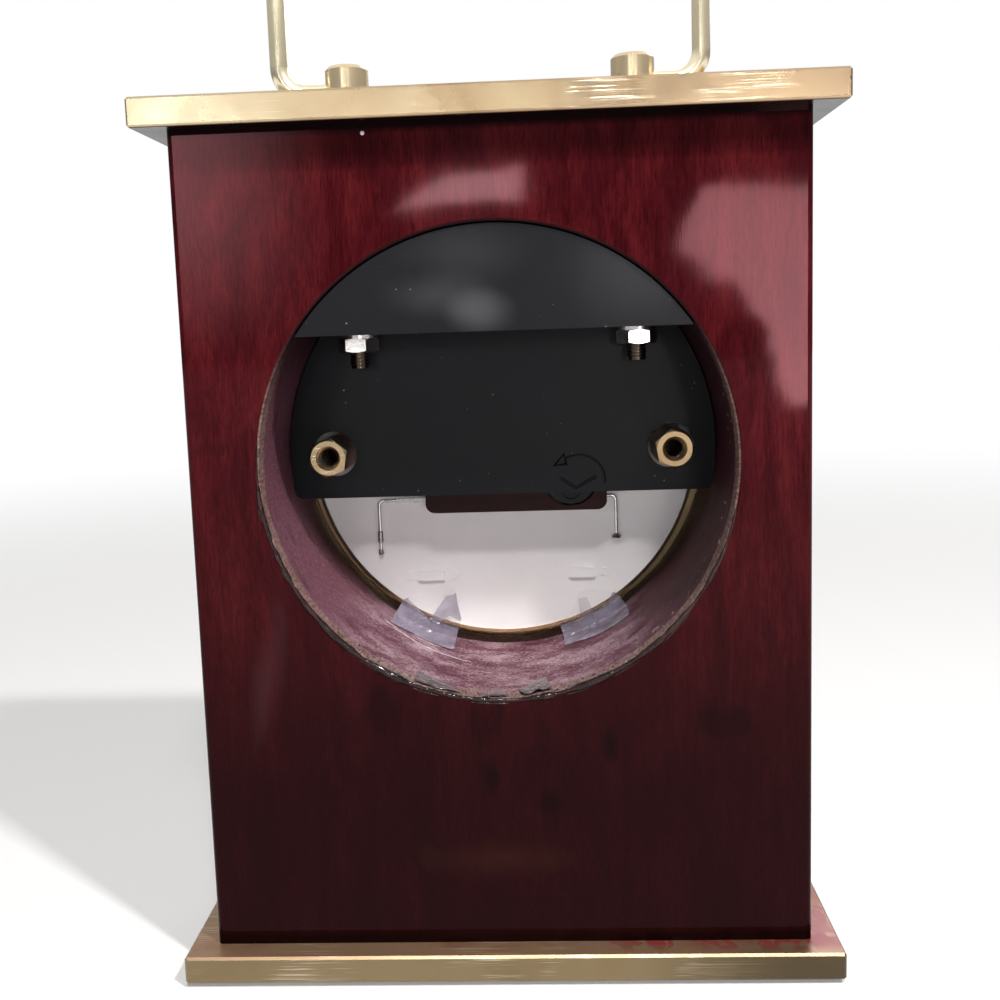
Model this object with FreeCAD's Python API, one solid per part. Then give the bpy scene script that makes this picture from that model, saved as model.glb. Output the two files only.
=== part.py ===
import FreeCAD, Part
import math
import os

# A small table clock: a lacquered wooden block between two brass plates, with a
# swinging brass handle on top, seen here with the cover of its round back opening
# taken off.  All sizes are millimetres.  The dial faces -Y, the open back +Y, and
# the origin lies on the table under the middle of the clock.

Vector = FreeCAD.Vector
RIGHT = Vector(1, 0, 0)
BACK = Vector(0, 1, 0)
UP = Vector(0, 0, 1)

# Wooden block and its through bore
block_width = 130.0
block_depth = 52.0
block_height = 175.0
block_edge_radius = 1.2
bore_radius = 50.0
bore_height = 105.0
bore_edge_bevel = 0.6

# Brass plates above and below the block
plate_overhang = 6.0
plate_thickness = 6.0
plate_edge_bevel = 0.5

# Felt pads and the wood screws of the base
pad_radius = 5.0
pad_thickness = 1.0
pad_inset = 9.0
screw_spacing_x = 96.0
screw_spacing_y = 32.0
screw_head_radius = 3.6
screw_shank_radius = 1.75
screw_length = 20.0
screw_tip_length = 3.0
screw_slot_width = 0.9
screw_slot_depth = 0.8

# Handle and its two posts, each turned in one piece with a threaded stud
post_spacing = 63.0
post_radius = 4.75
post_height = 10.5
post_edge_bevel = 0.8
stud_radius = 2.0
stud_overrun = 3.6
wire_radius = 2.0
wire_height = 5.0
wire_grip = 6.6
handle_reach = 15.0
handle_height = 48.0
handle_foot_bend = 6.0
handle_top_bend = 12.0

# Nuts and washers under the shelf of the moulding
nut_across_flats = 8.0
nut_thickness = 3.2
nut_bevel = 0.6
nut_turn = 3.0
washer_radius = 4.5
washer_thickness = 0.8

# Black moulding in the bore: D-shaped rear wall, arched roof, shelf and plate
moulding_gap = 0.4
moulding_inset = 1.0
moulding_wall = 2.0
shelf_height = 27.8
shelf_thickness = 2.5
moulding_plate_bottom = 10.4
moulding_plate_thickness = 1.8
post_hole_radius = 5.35
moulding_corner_radius = 1.5
moulding_to_movement = 0.5
locating_pad_width = 17.0
locating_pad_drop = 0.8
locating_pad_depth = 5.0

# Brass bezel with its sleeve, and the stack that it holds
bezel_cover = 4.5
bezel_height = 3.5
bezel_bead_radius = 1.6
bezel_lip = 2.2
sleeve_play = 3.2
sleeve_wall = 0.6
sleeve_overrun = 0.5
glass_thickness = 1.8
glass_setback = 1.0
spacer_length = 6.9
spacer_wall = 2.6
dial_thickness = 0.4
dial_back_thickness = 1.2

# Raised tabs and spots on the dial back, and clear tape over its lower rim
tab_offset = 18.6
tab_drop = 32.0
tab_width = 6.5
tab_height = 2.4
tab_rise = 0.8
spot_offset = 5.6
spot_radius = 1.1
spot_rise = 0.2
tape_angle = 24.5
tape_span = 18.5
tape_thickness = 0.25
tape_disc_flap = 4.5
tape_wall_flap = 8.0

# Hexagonal posts that hold the cover of the back opening
cover_post_spacing = 78.8
cover_post_across_flats = 8.0
cover_post_length = 20.0
cover_post_turn = 20.0
cover_post_bevel = 0.5
cover_thread_radius = 2.1
cover_thread_depth = 12.0
cover_spigot_radius = 2.5

# Spring wires that clip the movement to the dial back
clip_wire_radius = 0.4
clip_bend = 1.2
left_clip_reach = 12.3
left_clip_drop = 13.1
right_clip_reach = 2.5
right_clip_drop = 10.1
clip_grip = 2.0

# Quartz movement
movement_width = 43.0
movement_height = 34.0
movement_offset = -3.0
movement_drop = 15.0
movement_depth = 9.0
movement_wall = 1.2
movement_corner_radius = 2.2
lid_thickness = 1.0
lid_rim_height = 0.6
lid_rim_width = 0.8
fixing_washer_radius = 8.0
fixing_washer_thickness = 0.5
bushing_radius = 4.0
fixing_nut_across_flats = 10.0
fixing_nut_thickness = 1.8
bushing_overrun = 0.3

# Wheels of the motion work: module and teeth of each pair
cannon_teeth = 12
minute_wheel_teeth = 36
setting_teeth = 17
first_module = 0.35
minute_pinion_teeth = 10
hour_wheel_teeth = 40
wheel_thickness = 1.0
wheel_gap = 0.8
setting_angle = 205.1
tooth_backlash = 0.10
tooth_tip = 0.85
tooth_root = 1.15
pressure_angle = 20.0

# Arbors, pipe and knob
minute_arbor_radius = 1.5
hour_pipe_radius = 2.5
pivot_radius = 0.6
pivot_length = 0.9
pivot_boss_radius = 1.6
knob_radius = 6.0
knob_thickness = 2.2
knob_stem_radius = 1.2
knob_finger_radius = 2.3
knob_pocket_gap = 0.5

# Hands
hour_hand_length = 24.0
minute_hand_length = 35.0
hour_hand_width = 4.4
minute_hand_width = 3.4
hand_tail = 7.0
hand_boss_radius = 3.6
hand_thickness = 0.5
hand_gap = 0.8
hand_cap_radius = 2.2
hour_hand_angle = 305.0
minute_hand_angle = 60.0

# Cell, circuit board, coil, stator and crystal
cell_radius = 5.8
cell_thickness = 5.4
cell_offset = 9.5
cell_rise = 10.5
contact_width = 3.0
contact_thickness = 0.3
board_width = 20.0
board_height = 9.8
board_thickness = 0.8
board_corner_gap = 0.6
coil_radius = 2.0
coil_length = 12.0
coil_flange = 0.7
coil_core_radius = 1.0
stator_thickness = 0.6
stator_width = 6.2
stator_drop = 6.6
rotor_hole_radius = 1.6
crystal_radius = 1.0
crystal_length = 6.0

# Clearances
running_gap = 0.05
seat_gap = 0.1
screw_gap = 0.25

# Levels and places that follow from the sizes above
plate_width = block_width + 2 * plate_overhang
plate_depth = block_depth + 2 * plate_overhang
base_bottom = pad_thickness
block_bottom = base_bottom + plate_thickness
block_top = block_bottom + block_height
top_plate_top = block_top + plate_thickness
bore_z = block_bottom + bore_height
block_front = -block_depth / 2
block_back = block_depth / 2
wire_z = top_plate_top + wire_height
handle_top = top_plate_top + handle_height - wire_radius
post_x = post_spacing / 2

moulding_radius = bore_radius - moulding_gap
moulding_back = block_back - moulding_inset
shelf_z = bore_z + shelf_height
nut_top = shelf_z - washer_thickness
stud_bottom = nut_top - nut_thickness - stud_overrun

glass_front = block_front - glass_setback
glass_back = glass_front + glass_thickness
dial_front = glass_back + spacer_length
dial_back_front = dial_front + dial_thickness
dial_back_rear = dial_back_front + dial_back_thickness
bezel_radius = bore_radius + bezel_cover
sleeve_radius = bore_radius - sleeve_play
sleeve_inner = sleeve_radius - sleeve_wall
disc_radius = sleeve_inner - seat_gap
sleeve_rear = dial_back_rear + sleeve_overrun

movement_front = dial_back_rear + fixing_washer_thickness
movement_rear = movement_front + movement_depth
moulding_plate_front = movement_rear + moulding_to_movement
moulding_plate_back = moulding_plate_front + moulding_plate_thickness
movement_left = movement_offset - movement_width / 2
movement_right = movement_offset + movement_width / 2
movement_bottom = bore_z - movement_drop
movement_top = movement_bottom + movement_height

inner_front = movement_front + movement_wall
lid_inner = movement_rear - lid_thickness
wheel_b_front = inner_front + wheel_gap
wheel_b_rear = wheel_b_front + wheel_thickness
wheel_a_front = wheel_b_rear + wheel_gap
wheel_a_rear = wheel_a_front + wheel_thickness
first_distance = first_module * (cannon_teeth + minute_wheel_teeth) / 2
second_module = 2 * first_distance / (minute_pinion_teeth + hour_wheel_teeth)
setting_distance = first_module * (minute_wheel_teeth + setting_teeth) / 2
setting_way = math.radians(setting_angle)
minute_wheel_x = first_distance * math.cos(setting_way)
minute_wheel_z = bore_z + first_distance * math.sin(setting_way)
knob_x = (first_distance + setting_distance) * math.cos(setting_way)
knob_z = bore_z + (first_distance + setting_distance) * math.sin(setting_way)
pocket_radius = knob_radius + knob_pocket_gap
knob_rear = movement_rear - seat_gap
knob_front = knob_rear - knob_thickness
pocket_floor_rear = knob_front - seat_gap
pocket_floor_front = pocket_floor_rear - lid_thickness

fixing_nut_rear = dial_front
fixing_nut_front = fixing_nut_rear - fixing_nut_thickness
bushing_front = fixing_nut_front - bushing_overrun
hour_hand_rear = bushing_front - hand_gap
hour_hand_front = hour_hand_rear - hand_thickness
minute_hand_rear = hour_hand_front - hand_gap
minute_hand_front = minute_hand_rear - hand_thickness

made = {}


def box(x0, x1, y0, y1, z0, z1):
    return Part.makeBox(x1 - x0, y1 - y0, z1 - z0, Vector(x0, y0, z0))


def rod_x(radius, x0, x1, y, z):
    return Part.makeCylinder(radius, x1 - x0, Vector(x0, y, z), RIGHT)


def rod_y(radius, y0, y1, x, z):
    return Part.makeCylinder(radius, y1 - y0, Vector(x, y0, z), BACK)


def rod_z(radius, z0, z1, x, y):
    return Part.makeCylinder(radius, z1 - z0, Vector(x, y, z0), UP)


def edges_along(shape, way):
    """The straight edges of a shape that run along one direction."""
    found = []
    for edge in shape.Edges:
        if len(edge.Vertexes) == 2:
            run = edge.Vertexes[1].Point - edge.Vertexes[0].Point
            if run.Length > 0 and abs(run.normalize().dot(way)) > 0.999:
                found.append(edge)
    return found


def hex_bar(across_flats, length, bevel, turn):
    """A hexagonal bar along +Z from the origin, with its two ends turned down."""
    corner = across_flats / math.sqrt(3)
    points = []
    for side in range(7):
        angle = math.radians(60 * side + turn)
        points.append(Vector(corner * math.cos(angle), corner * math.sin(angle), 0))
    bar = Part.Face(Part.makePolygon(points)).extrude(UP * length)
    rise = bevel * 0.6
    inside = across_flats / 2 - 0.05
    outline = Part.makePolygon([
        Vector(0, 0, 0),
        Vector(inside, 0, 0),
        Vector(inside + bevel + 0.4, 0, rise + 0.25),
        Vector(inside + bevel + 0.4, 0, length - rise - 0.25),
        Vector(inside, 0, length),
        Vector(0, 0, length),
        Vector(0, 0, 0),
    ])
    turned = Part.Face(outline).revolve(Vector(0, 0, 0), UP, 360)
    return bar.common(turned)


def turned_y(points, x, z):
    """A solid turned about the line along Y through x, z, from (radius, y) points."""
    outline = [Vector(x + radius, y, z) for radius, y in points]
    face = Part.Face(Part.makePolygon(outline + outline[:1]))
    return face.revolve(Vector(x, 0, z), BACK, 360)


def save(name, shape):
    made[name] = shape
    shape.exportStep("parts/" + name + ".step")


# Case

def plate(bottom):
    """A flat brass plate with lightly bevelled edges."""
    slab = box(-plate_width / 2, plate_width / 2, -plate_depth / 2, plate_depth / 2,
               bottom, bottom + plate_thickness)
    return slab.makeChamfer(plate_edge_bevel, slab.Edges)


def screw_places():
    for side_x in (-1, 1):
        for side_y in (-1, 1):
            yield side_x * screw_spacing_x / 2, side_y * screw_spacing_y / 2


def case_block():
    block = box(-block_width / 2, block_width / 2, block_front, block_back, block_bottom, block_top)
    block = block.makeFillet(block_edge_radius, edges_along(block, UP))
    block = block.cut(rod_y(bore_radius, block_front - 1, block_back + 1, 0, bore_z))
    for face_y, way in ((block_front, 1), (block_back, -1)):
        bevel = Part.makeCone(bore_radius + bore_edge_bevel, bore_radius, bore_edge_bevel,
                              Vector(0, face_y, bore_z), BACK * way)
        block = block.cut(bevel)
    for side in (-1, 1):
        block = block.cut(rod_z(stud_radius + screw_gap, bore_z, block_top + 1, side * post_x, 0))
    pilot_depth = screw_length - plate_thickness + 1
    for x, y in screw_places():
        pilot = rod_z(screw_shank_radius + seat_gap, block_bottom - 1, block_bottom + pilot_depth, x, y)
        block = block.cut(pilot)
    return block


def base_plate():
    shape = plate(base_bottom)
    sink = screw_head_radius - screw_shank_radius
    for x, y in screw_places():
        hole = rod_z(screw_shank_radius + seat_gap, base_bottom - 1, block_bottom + 1, x, y)
        cone = Part.makeCone(screw_head_radius + seat_gap, screw_shank_radius + seat_gap, sink,
                             Vector(x, y, base_bottom), UP)
        shape = shape.cut(hole).cut(cone)
    return shape


def base_screws():
    """Countersunk wood screws, their slotted heads level with the underside of the plate."""
    sink = screw_head_radius - screw_shank_radius
    screws = []
    for x, y in screw_places():
        head = Part.makeCone(screw_head_radius, screw_shank_radius, sink, Vector(x, y, base_bottom), UP)
        shank_top = base_bottom + screw_length - screw_tip_length
        shank = rod_z(screw_shank_radius, base_bottom + sink, shank_top, x, y)
        tip = Part.makeCone(screw_shank_radius, 0.2, screw_tip_length, Vector(x, y, shank_top), UP)
        slot = box(x - screw_head_radius, x + screw_head_radius,
                   y - screw_slot_width / 2, y + screw_slot_width / 2,
                   base_bottom - 1, base_bottom + screw_slot_depth)
        screws.append(head.fuse([shank, tip]).cut(slot).removeSplitter())
    return Part.makeCompound(screws)


def foot_pads():
    reach_x = plate_width / 2 - pad_inset
    reach_y = plate_depth / 2 - pad_inset
    pads = [rod_z(pad_radius, 0, pad_thickness, side_x * reach_x, side_y * reach_y)
            for side_x in (-1, 1) for side_y in (-1, 1)]
    return Part.makeCompound(pads)


def top_plate():
    shape = plate(block_top)
    for side in (-1, 1):
        shape = shape.cut(rod_z(stud_radius + screw_gap, block_top - 1, top_plate_top + 1, side * post_x, 0))
    return shape


# Handle

def handle_post(side):
    """A turned post and its stud in one piece, bored from outside for the handle's end."""
    x = side * post_x
    head = rod_z(post_radius, top_plate_top, top_plate_top + post_height, x, 0)
    rim = [edge for edge in head.Edges if abs(edge.BoundBox.ZMin - top_plate_top - post_height) < 0.001]
    head = head.makeChamfer(post_edge_bevel, rim)
    stud = rod_z(stud_radius, stud_bottom, top_plate_top, x, 0)
    depth = wire_grip + seat_gap
    mouth = x + side * post_radius
    ends = sorted((mouth + side, mouth - side * depth))
    socket = rod_x(wire_radius + running_gap, ends[0], ends[1], 0, wire_z)
    return head.fuse(stud).removeSplitter().cut(socket)


def handle():
    """One bent brass rod: its two ends turn in towards each other, into the posts."""
    end_x = post_x + post_radius - wire_grip
    leg_x = post_x + handle_reach
    foot = handle_foot_bend
    top = handle_top_bend
    half_turn = math.sqrt(0.5)

    def at(x, z):
        return Vector(x, 0, z)

    def side_edges(side):
        low = Part.LineSegment(at(side * end_x, wire_z), at(side * (leg_x - foot), wire_z))
        low_bend = Part.Arc(at(side * (leg_x - foot), wire_z),
                            at(side * (leg_x - foot + foot * half_turn), wire_z + foot - foot * half_turn),
                            at(side * leg_x, wire_z + foot))
        leg = Part.LineSegment(at(side * leg_x, wire_z + foot), at(side * leg_x, handle_top - top))
        top_bend = Part.Arc(at(side * leg_x, handle_top - top),
                            at(side * (leg_x - top + top * half_turn), handle_top - top + top * half_turn),
                            at(side * (leg_x - top), handle_top))
        return [low.toShape(), low_bend.toShape(), leg.toShape(), top_bend.toShape()]

    bar = Part.LineSegment(at(leg_x - top, handle_top), at(top - leg_x, handle_top)).toShape()
    path = Part.Wire(side_edges(1) + [bar] + side_edges(-1)[::-1])
    section = Part.Wire(Part.makeCircle(wire_radius, at(end_x, wire_z), RIGHT))
    rod = path.makePipeShell([section], True, False)
    return rod


def post_washers():
    washers = []
    for side in (-1, 1):
        disc = rod_z(washer_radius, nut_top, shelf_z, side * post_x, 0)
        washers.append(disc.cut(rod_z(stud_radius + seat_gap, nut_top - 1, shelf_z + 1, side * post_x, 0)))
    return Part.makeCompound(washers)


def post_nuts():
    nuts = []
    for side in (-1, 1):
        nut = hex_bar(nut_across_flats, nut_thickness, nut_bevel, -side * nut_turn)
        nut.translate(Vector(side * post_x, 0, nut_top - nut_thickness))
        thread = rod_z(stud_radius + running_gap, nut_top - nut_thickness - 1, nut_top + 1, side * post_x, 0)
        nuts.append(nut.cut(thread))
    return Part.makeCompound(nuts)


# Moulding in the bore

def moulding():
    """D-shaped box against the roof of the bore, with a plate that hangs down at its front."""
    solid = rod_y(moulding_radius, moulding_plate_front, moulding_back, 0, bore_z)
    hollow = rod_y(moulding_radius - moulding_wall, moulding_plate_front - 1,
                   moulding_back - moulding_wall, 0, bore_z)
    wide = moulding_radius + 1
    above_shelf = box(-wide, wide, moulding_plate_front - 2, moulding_back + 1, shelf_z, bore_z + wide)
    room = box(-wide, wide, moulding_plate_front - 2, moulding_back + 1, shelf_z + shelf_thickness, bore_z + wide)
    shell = solid.common(above_shelf).cut(hollow.common(room))

    slab = rod_y(moulding_radius, moulding_plate_front, moulding_plate_back, 0, bore_z)
    hanging = box(-wide, wide, moulding_plate_front - 1, moulding_plate_back + 1,
                  bore_z - moulding_plate_bottom, shelf_z + shelf_thickness)
    hanging = slab.common(hanging)
    corners = [edge for edge in edges_along(hanging, BACK)
               if edge.BoundBox.ZMax < bore_z - moulding_plate_bottom + 0.01]
    hanging = hanging.makeFillet(moulding_corner_radius, corners)
    shape = shell.fuse(hanging)

    locating_pad = box(-locating_pad_width / 2, locating_pad_width / 2,
                       moulding_plate_back - 0.5, moulding_plate_back + locating_pad_depth,
                       shelf_z - locating_pad_drop, shelf_z + 0.5)
    shape = shape.fuse(locating_pad).removeSplitter()
    for side in (-1, 1):
        stud_hole = rod_z(stud_radius + screw_gap, shelf_z - 1, bore_z + wide, side * post_x, 0)
        post_hole = rod_y(post_hole_radius, moulding_plate_front - 1, moulding_plate_back + 1,
                          side * cover_post_spacing / 2, bore_z)
        shape = shape.cut(stud_hole).cut(post_hole)
    return shape


# Bezel, glass and dial

def bezel():
    """A turned ring: a moulded flange before the block and a sleeve into its bore."""
    inner = sleeve_inner
    lip_radius = inner - bezel_lip
    flange_back = block_front
    face = flange_back - bezel_height
    bead = bezel_bead_radius
    slope_foot = bezel_radius - bead
    crown = (inner + bezel_radius) / 2

    def at(radius, y):
        return Vector(radius, y, bore_z)

    edges = [
        Part.LineSegment(at(inner, sleeve_rear), at(sleeve_radius, sleeve_rear)),
        Part.LineSegment(at(sleeve_radius, sleeve_rear), at(sleeve_radius, flange_back)),
        Part.LineSegment(at(sleeve_radius, flange_back), at(bezel_radius, flange_back)),
        Part.Arc(at(bezel_radius, flange_back), at(bezel_radius - bead * 0.3, flange_back - bead * 0.75),
                 at(slope_foot, flange_back - bead)),
        Part.Arc(at(slope_foot, flange_back - bead), at((slope_foot + crown) / 2 + 0.5, flange_back - bead - 1.3),
                 at(crown, face)),
        Part.Arc(at(crown, face), at((crown + lip_radius) / 2, face + 0.2), at(lip_radius, glass_front - 0.9)),
        Part.LineSegment(at(lip_radius, glass_front - 0.9), at(lip_radius, glass_front)),
        Part.LineSegment(at(lip_radius, glass_front), at(inner, glass_front)),
        Part.LineSegment(at(inner, glass_front), at(inner, sleeve_rear)),
    ]
    profile = Part.Face(Part.Wire([edge.toShape() for edge in edges]))
    return profile.revolve(Vector(0, 0, bore_z), BACK, 360)


def glass():
    return rod_y(disc_radius, glass_front, glass_back, 0, bore_z)


def spacer_ring():
    """A stepped ring between glass and dial, wider towards the glass."""
    wall = spacer_wall
    return turned_y([(disc_radius, glass_back), (disc_radius, dial_front),
                     (disc_radius - wall, dial_front), (disc_radius - wall * 0.45, glass_back)], 0, bore_z)


def dial():
    disc = rod_y(disc_radius, dial_front, dial_back_front, 0, bore_z)
    return disc.cut(rod_y(bushing_radius + seat_gap, dial_front - 1, dial_back_front + 1, 0, bore_z))


def cover_post_places():
    for side in (-1, 1):
        yield side * cover_post_spacing / 2, bore_z


def dial_back():
    """The disc behind the dial, with two raised tabs between round spots."""
    disc = rod_y(disc_radius, dial_back_front, dial_back_rear, 0, bore_z)
    for side in (-1, 1):
        x = side * tab_offset
        z = bore_z - tab_drop
        tab = box(x - tab_width / 2, x + tab_width / 2, dial_back_rear - 0.3, dial_back_rear + tab_rise,
                  z - tab_height / 2, z + tab_height / 2)
        tab = tab.makeFillet(0.7, edges_along(tab, BACK))
        disc = disc.fuse(tab)
        for way in (-1, 1):
            disc = disc.fuse(rod_y(spot_radius, dial_back_rear - 0.3, dial_back_rear + spot_rise,
                                   x + way * spot_offset, z))
    disc = disc.removeSplitter()
    disc = disc.cut(rod_y(bushing_radius + seat_gap, dial_back_front - 1, dial_back_rear + 1, 0, bore_z))
    for x, z in cover_post_places():
        disc = disc.cut(rod_y(cover_spigot_radius + running_gap, dial_back_front - 1, dial_back_rear + 1, x, z))
    return disc


def cover_posts():
    """Hexagonal posts, tapped at the rear, their spigots riveted in the dial back."""
    posts = []
    for x, z in cover_post_places():
        side = 1 if x > 0 else -1
        bar = hex_bar(cover_post_across_flats, cover_post_length, cover_post_bevel, side * cover_post_turn)
        bar = bar.cut(rod_z(cover_thread_radius, cover_post_length - cover_thread_depth,
                            cover_post_length + 1, 0, 0))
        mouth = Part.makeCone(cover_thread_radius, cover_thread_radius + 0.7, 0.7,
                              Vector(0, 0, cover_post_length - 0.7), UP)
        bar = bar.cut(mouth)
        bar = bar.fuse(rod_z(cover_spigot_radius, -dial_back_thickness, 0.5, 0, 0)).removeSplitter()
        bar.rotate(Vector(0, 0, 0), RIGHT, -90)
        bar.translate(Vector(x, dial_back_rear, z))
        posts.append(bar)
    return Part.makeCompound(posts)


def tape_tabs():
    """Two strips of clear tape, from the dial back over the rim and along the bore's wall."""
    outer = bore_radius - seat_gap
    rear_y = sleeve_rear + seat_gap + tape_thickness
    disc_r = sleeve_radius - tape_disc_flap
    front_y = rear_y - tape_thickness
    section = [(disc_r, front_y), (disc_r, rear_y), (outer - tape_thickness, rear_y),
               (outer - tape_thickness, rear_y + tape_wall_flap), (outer, rear_y + tape_wall_flap),
               (outer, front_y)]
    strips = []
    for side in (-1, 1):
        outline = [Vector(radius, y, bore_z) for radius, y in section]
        face = Part.Face(Part.makePolygon(outline + outline[:1]))
        middle = 90 - side * tape_angle
        face.rotate(Vector(0, 0, bore_z), BACK, middle - tape_span / 2)
        strips.append(face.revolve(Vector(0, 0, bore_z), BACK, tape_span))
    return Part.makeCompound(strips)


# Movement

def movement_outline(y0, y1, inset):
    shape = box(movement_left + inset, movement_right - inset, y0, y1,
                movement_bottom + inset, movement_top - inset)
    return shape.makeFillet(movement_corner_radius - inset, edges_along(shape, BACK))


def pivot_hole(x, z, y0, y1):
    return rod_y(pivot_radius + running_gap, y0, y1, x, z)


def movement_case():
    """The front shell of the movement, with the threaded bushing that passes the dial."""
    shell = movement_outline(movement_front, lid_inner, 0)
    shell = shell.cut(movement_outline(inner_front, lid_inner + 1, movement_wall))
    bushing = rod_y(bushing_radius, bushing_front, movement_front + 0.5, 0, bore_z)
    shell = shell.fuse(bushing).removeSplitter()
    shell = shell.cut(rod_y(hour_pipe_radius + running_gap, bushing_front - 1, inner_front + 1, 0, bore_z))
    for x, z in ((minute_wheel_x, minute_wheel_z), (knob_x, knob_z)):
        shell = shell.cut(pivot_hole(x, z, inner_front - pivot_length, inner_front + 1))
    return shell


def movement_lid():
    """The rear cover of the movement, sunk to a pocket round the setting knob."""
    lid = movement_outline(lid_inner, movement_rear, 0)
    rim = movement_outline(lid_inner - lid_rim_height, lid_inner + 0.5, movement_wall + seat_gap)
    rim = rim.cut(movement_outline(lid_inner - lid_rim_height - 1, lid_inner + 1, movement_wall + lid_rim_width))
    lid = lid.fuse(rim)
    cup = rod_y(pocket_radius + lid_thickness, pocket_floor_front, movement_rear, knob_x, knob_z)
    cup = cup.common(movement_outline(pocket_floor_front, movement_rear, movement_wall + seat_gap))
    lid = lid.fuse(cup).removeSplitter()
    lid = lid.cut(rod_y(pocket_radius, pocket_floor_rear, movement_rear + 1, knob_x, knob_z))
    lid = lid.cut(rod_y(knob_stem_radius + running_gap, pocket_floor_front - 1, movement_rear, knob_x, knob_z))
    for x, z in ((0, bore_z), (minute_wheel_x, minute_wheel_z)):
        boss_front = wheel_a_rear + 0.3
        lid = lid.fuse(rod_y(pivot_boss_radius, boss_front, lid_inner + 0.2, x, z))
        lid = lid.cut(pivot_hole(x, z, boss_front - 1, boss_front + pivot_length + seat_gap))
    return lid.removeSplitter()


def fixing_washer():
    ring = rod_y(fixing_washer_radius, dial_back_rear, movement_front, 0, bore_z)
    return ring.cut(rod_y(bushing_radius + seat_gap, dial_back_rear - 1, movement_front + 1, 0, bore_z))


def fixing_nut():
    nut = hex_bar(fixing_nut_across_flats, fixing_nut_thickness, 0.5, 0)
    nut.rotate(Vector(0, 0, 0), RIGHT, -90)
    nut.translate(Vector(0, fixing_nut_front, bore_z))
    return nut.cut(rod_y(bushing_radius + running_gap, fixing_nut_front - 1, fixing_nut_rear + 1, 0, bore_z))


def clip_wire(points):
    """A thin round wire through the given points, with small bends between them."""
    edges = []
    here = points[0]
    for index in range(1, len(points) - 1):
        before = (points[index - 1] - points[index]).normalize()
        after = (points[index + 1] - points[index]).normalize()
        start = points[index] + before * clip_bend
        end = points[index] + after * clip_bend
        corner = (before + after).normalize()
        middle = points[index] + corner * (clip_bend * (math.sqrt(2) - 1))
        edges.append(Part.LineSegment(here, start).toShape())
        edges.append(Part.Arc(start, middle, end).toShape())
        here = end
    edges.append(Part.LineSegment(here, points[-1]).toShape())
    section = Part.Wire(Part.makeCircle(clip_wire_radius, points[0], points[1] - points[0]))
    return Part.Wire(edges).makePipeShell([section], True, False)


def movement_clip(side):
    """A spring wire from the side of the movement, bent down along the dial back."""
    y = dial_back_rear + clip_wire_radius + seat_gap
    reach = left_clip_reach if side > 0 else right_clip_reach
    drop = left_clip_drop if side > 0 else right_clip_drop
    edge_x = movement_right if side > 0 else movement_left
    start_x = edge_x + side * seat_gap
    z = movement_bottom + clip_grip
    y_grip = movement_front + movement_wall
    points = [Vector(start_x, y_grip, z), Vector(start_x + side * reach, y_grip, z),
              Vector(start_x + side * reach, y_grip, z - drop)]
    wire = clip_wire(points)
    wire.translate(Vector(0, y - y_grip, 0))
    return wire


def gear(teeth, module, thickness, turn):
    """A spur wheel about Y, from y = 0 back, with involute flanks and radial roots."""
    pitch = module * teeth / 2
    base = pitch * math.cos(math.radians(pressure_angle))
    outer = pitch + tooth_tip * module
    root = pitch - tooth_root * module
    half_at_pitch = math.pi / (2 * teeth) - tooth_backlash / (2 * pitch)

    def involute(radius):
        angle = math.acos(min(1.0, base / radius))
        return math.tan(angle) - angle

    def half_angle(radius):
        return half_at_pitch + involute(pitch) - involute(max(radius, base))

    flank = [root, max(base, root + 0.05), pitch, outer]
    points = []
    for tooth in range(teeth):
        middle = 2 * math.pi * tooth / teeth + math.radians(turn)
        for radius in flank:
            angle = middle - half_angle(radius)
            points.append(Vector(radius * math.cos(angle), 0, radius * math.sin(angle)))
        for radius in reversed(flank):
            angle = middle + half_angle(radius)
            points.append(Vector(radius * math.cos(angle), 0, radius * math.sin(angle)))
    outline = Part.Face(Part.makePolygon(points + points[:1]))
    return outline.extrude(BACK * thickness)


def in_mesh(teeth, mate_teeth, mate_turn, way):
    """How far a wheel is turned so that a gap of it takes a tooth of its mate.

    way is the direction from the mate to the wheel, in degrees."""
    mate_phase = (way - mate_turn) * mate_teeth / 360
    return way + 180 - (0.5 - mate_phase) * 360 / teeth


cannon_turn = setting_angle
minute_wheel_turn = in_mesh(minute_wheel_teeth, cannon_teeth, cannon_turn, setting_angle)
setting_turn = in_mesh(setting_teeth, minute_wheel_teeth, minute_wheel_turn, setting_angle)
minute_pinion_turn = setting_angle
hour_wheel_turn = in_mesh(hour_wheel_teeth, minute_pinion_teeth, minute_pinion_turn, setting_angle + 180)


def hour_wheel():
    """Wheel and pipe: the pipe runs in the bushing and carries the hour hand."""
    wheel = gear(hour_wheel_teeth, second_module, wheel_thickness, hour_wheel_turn)
    wheel.translate(Vector(0, wheel_b_front, bore_z))
    pipe = rod_y(hour_pipe_radius, hour_hand_front, wheel_b_rear, 0, bore_z)
    shape = wheel.fuse(pipe).removeSplitter()
    return shape.cut(rod_y(minute_arbor_radius + running_gap, hour_hand_front - 1, wheel_b_rear + 1, 0, bore_z))


def cannon_pinion():
    """The minute arbor with its pinion, from the lid's boss out to the minute hand."""
    pinion = gear(cannon_teeth, first_module, wheel_thickness, cannon_turn)
    pinion.translate(Vector(0, wheel_a_front, bore_z))
    arbor = rod_y(minute_arbor_radius, minute_hand_front - hand_thickness, wheel_a_rear, 0, bore_z)
    pivot = rod_y(pivot_radius, wheel_a_rear - 0.2, wheel_a_rear + 0.3 + pivot_length, 0, bore_z)
    return arbor.fuse([pinion, pivot]).removeSplitter()


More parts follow.
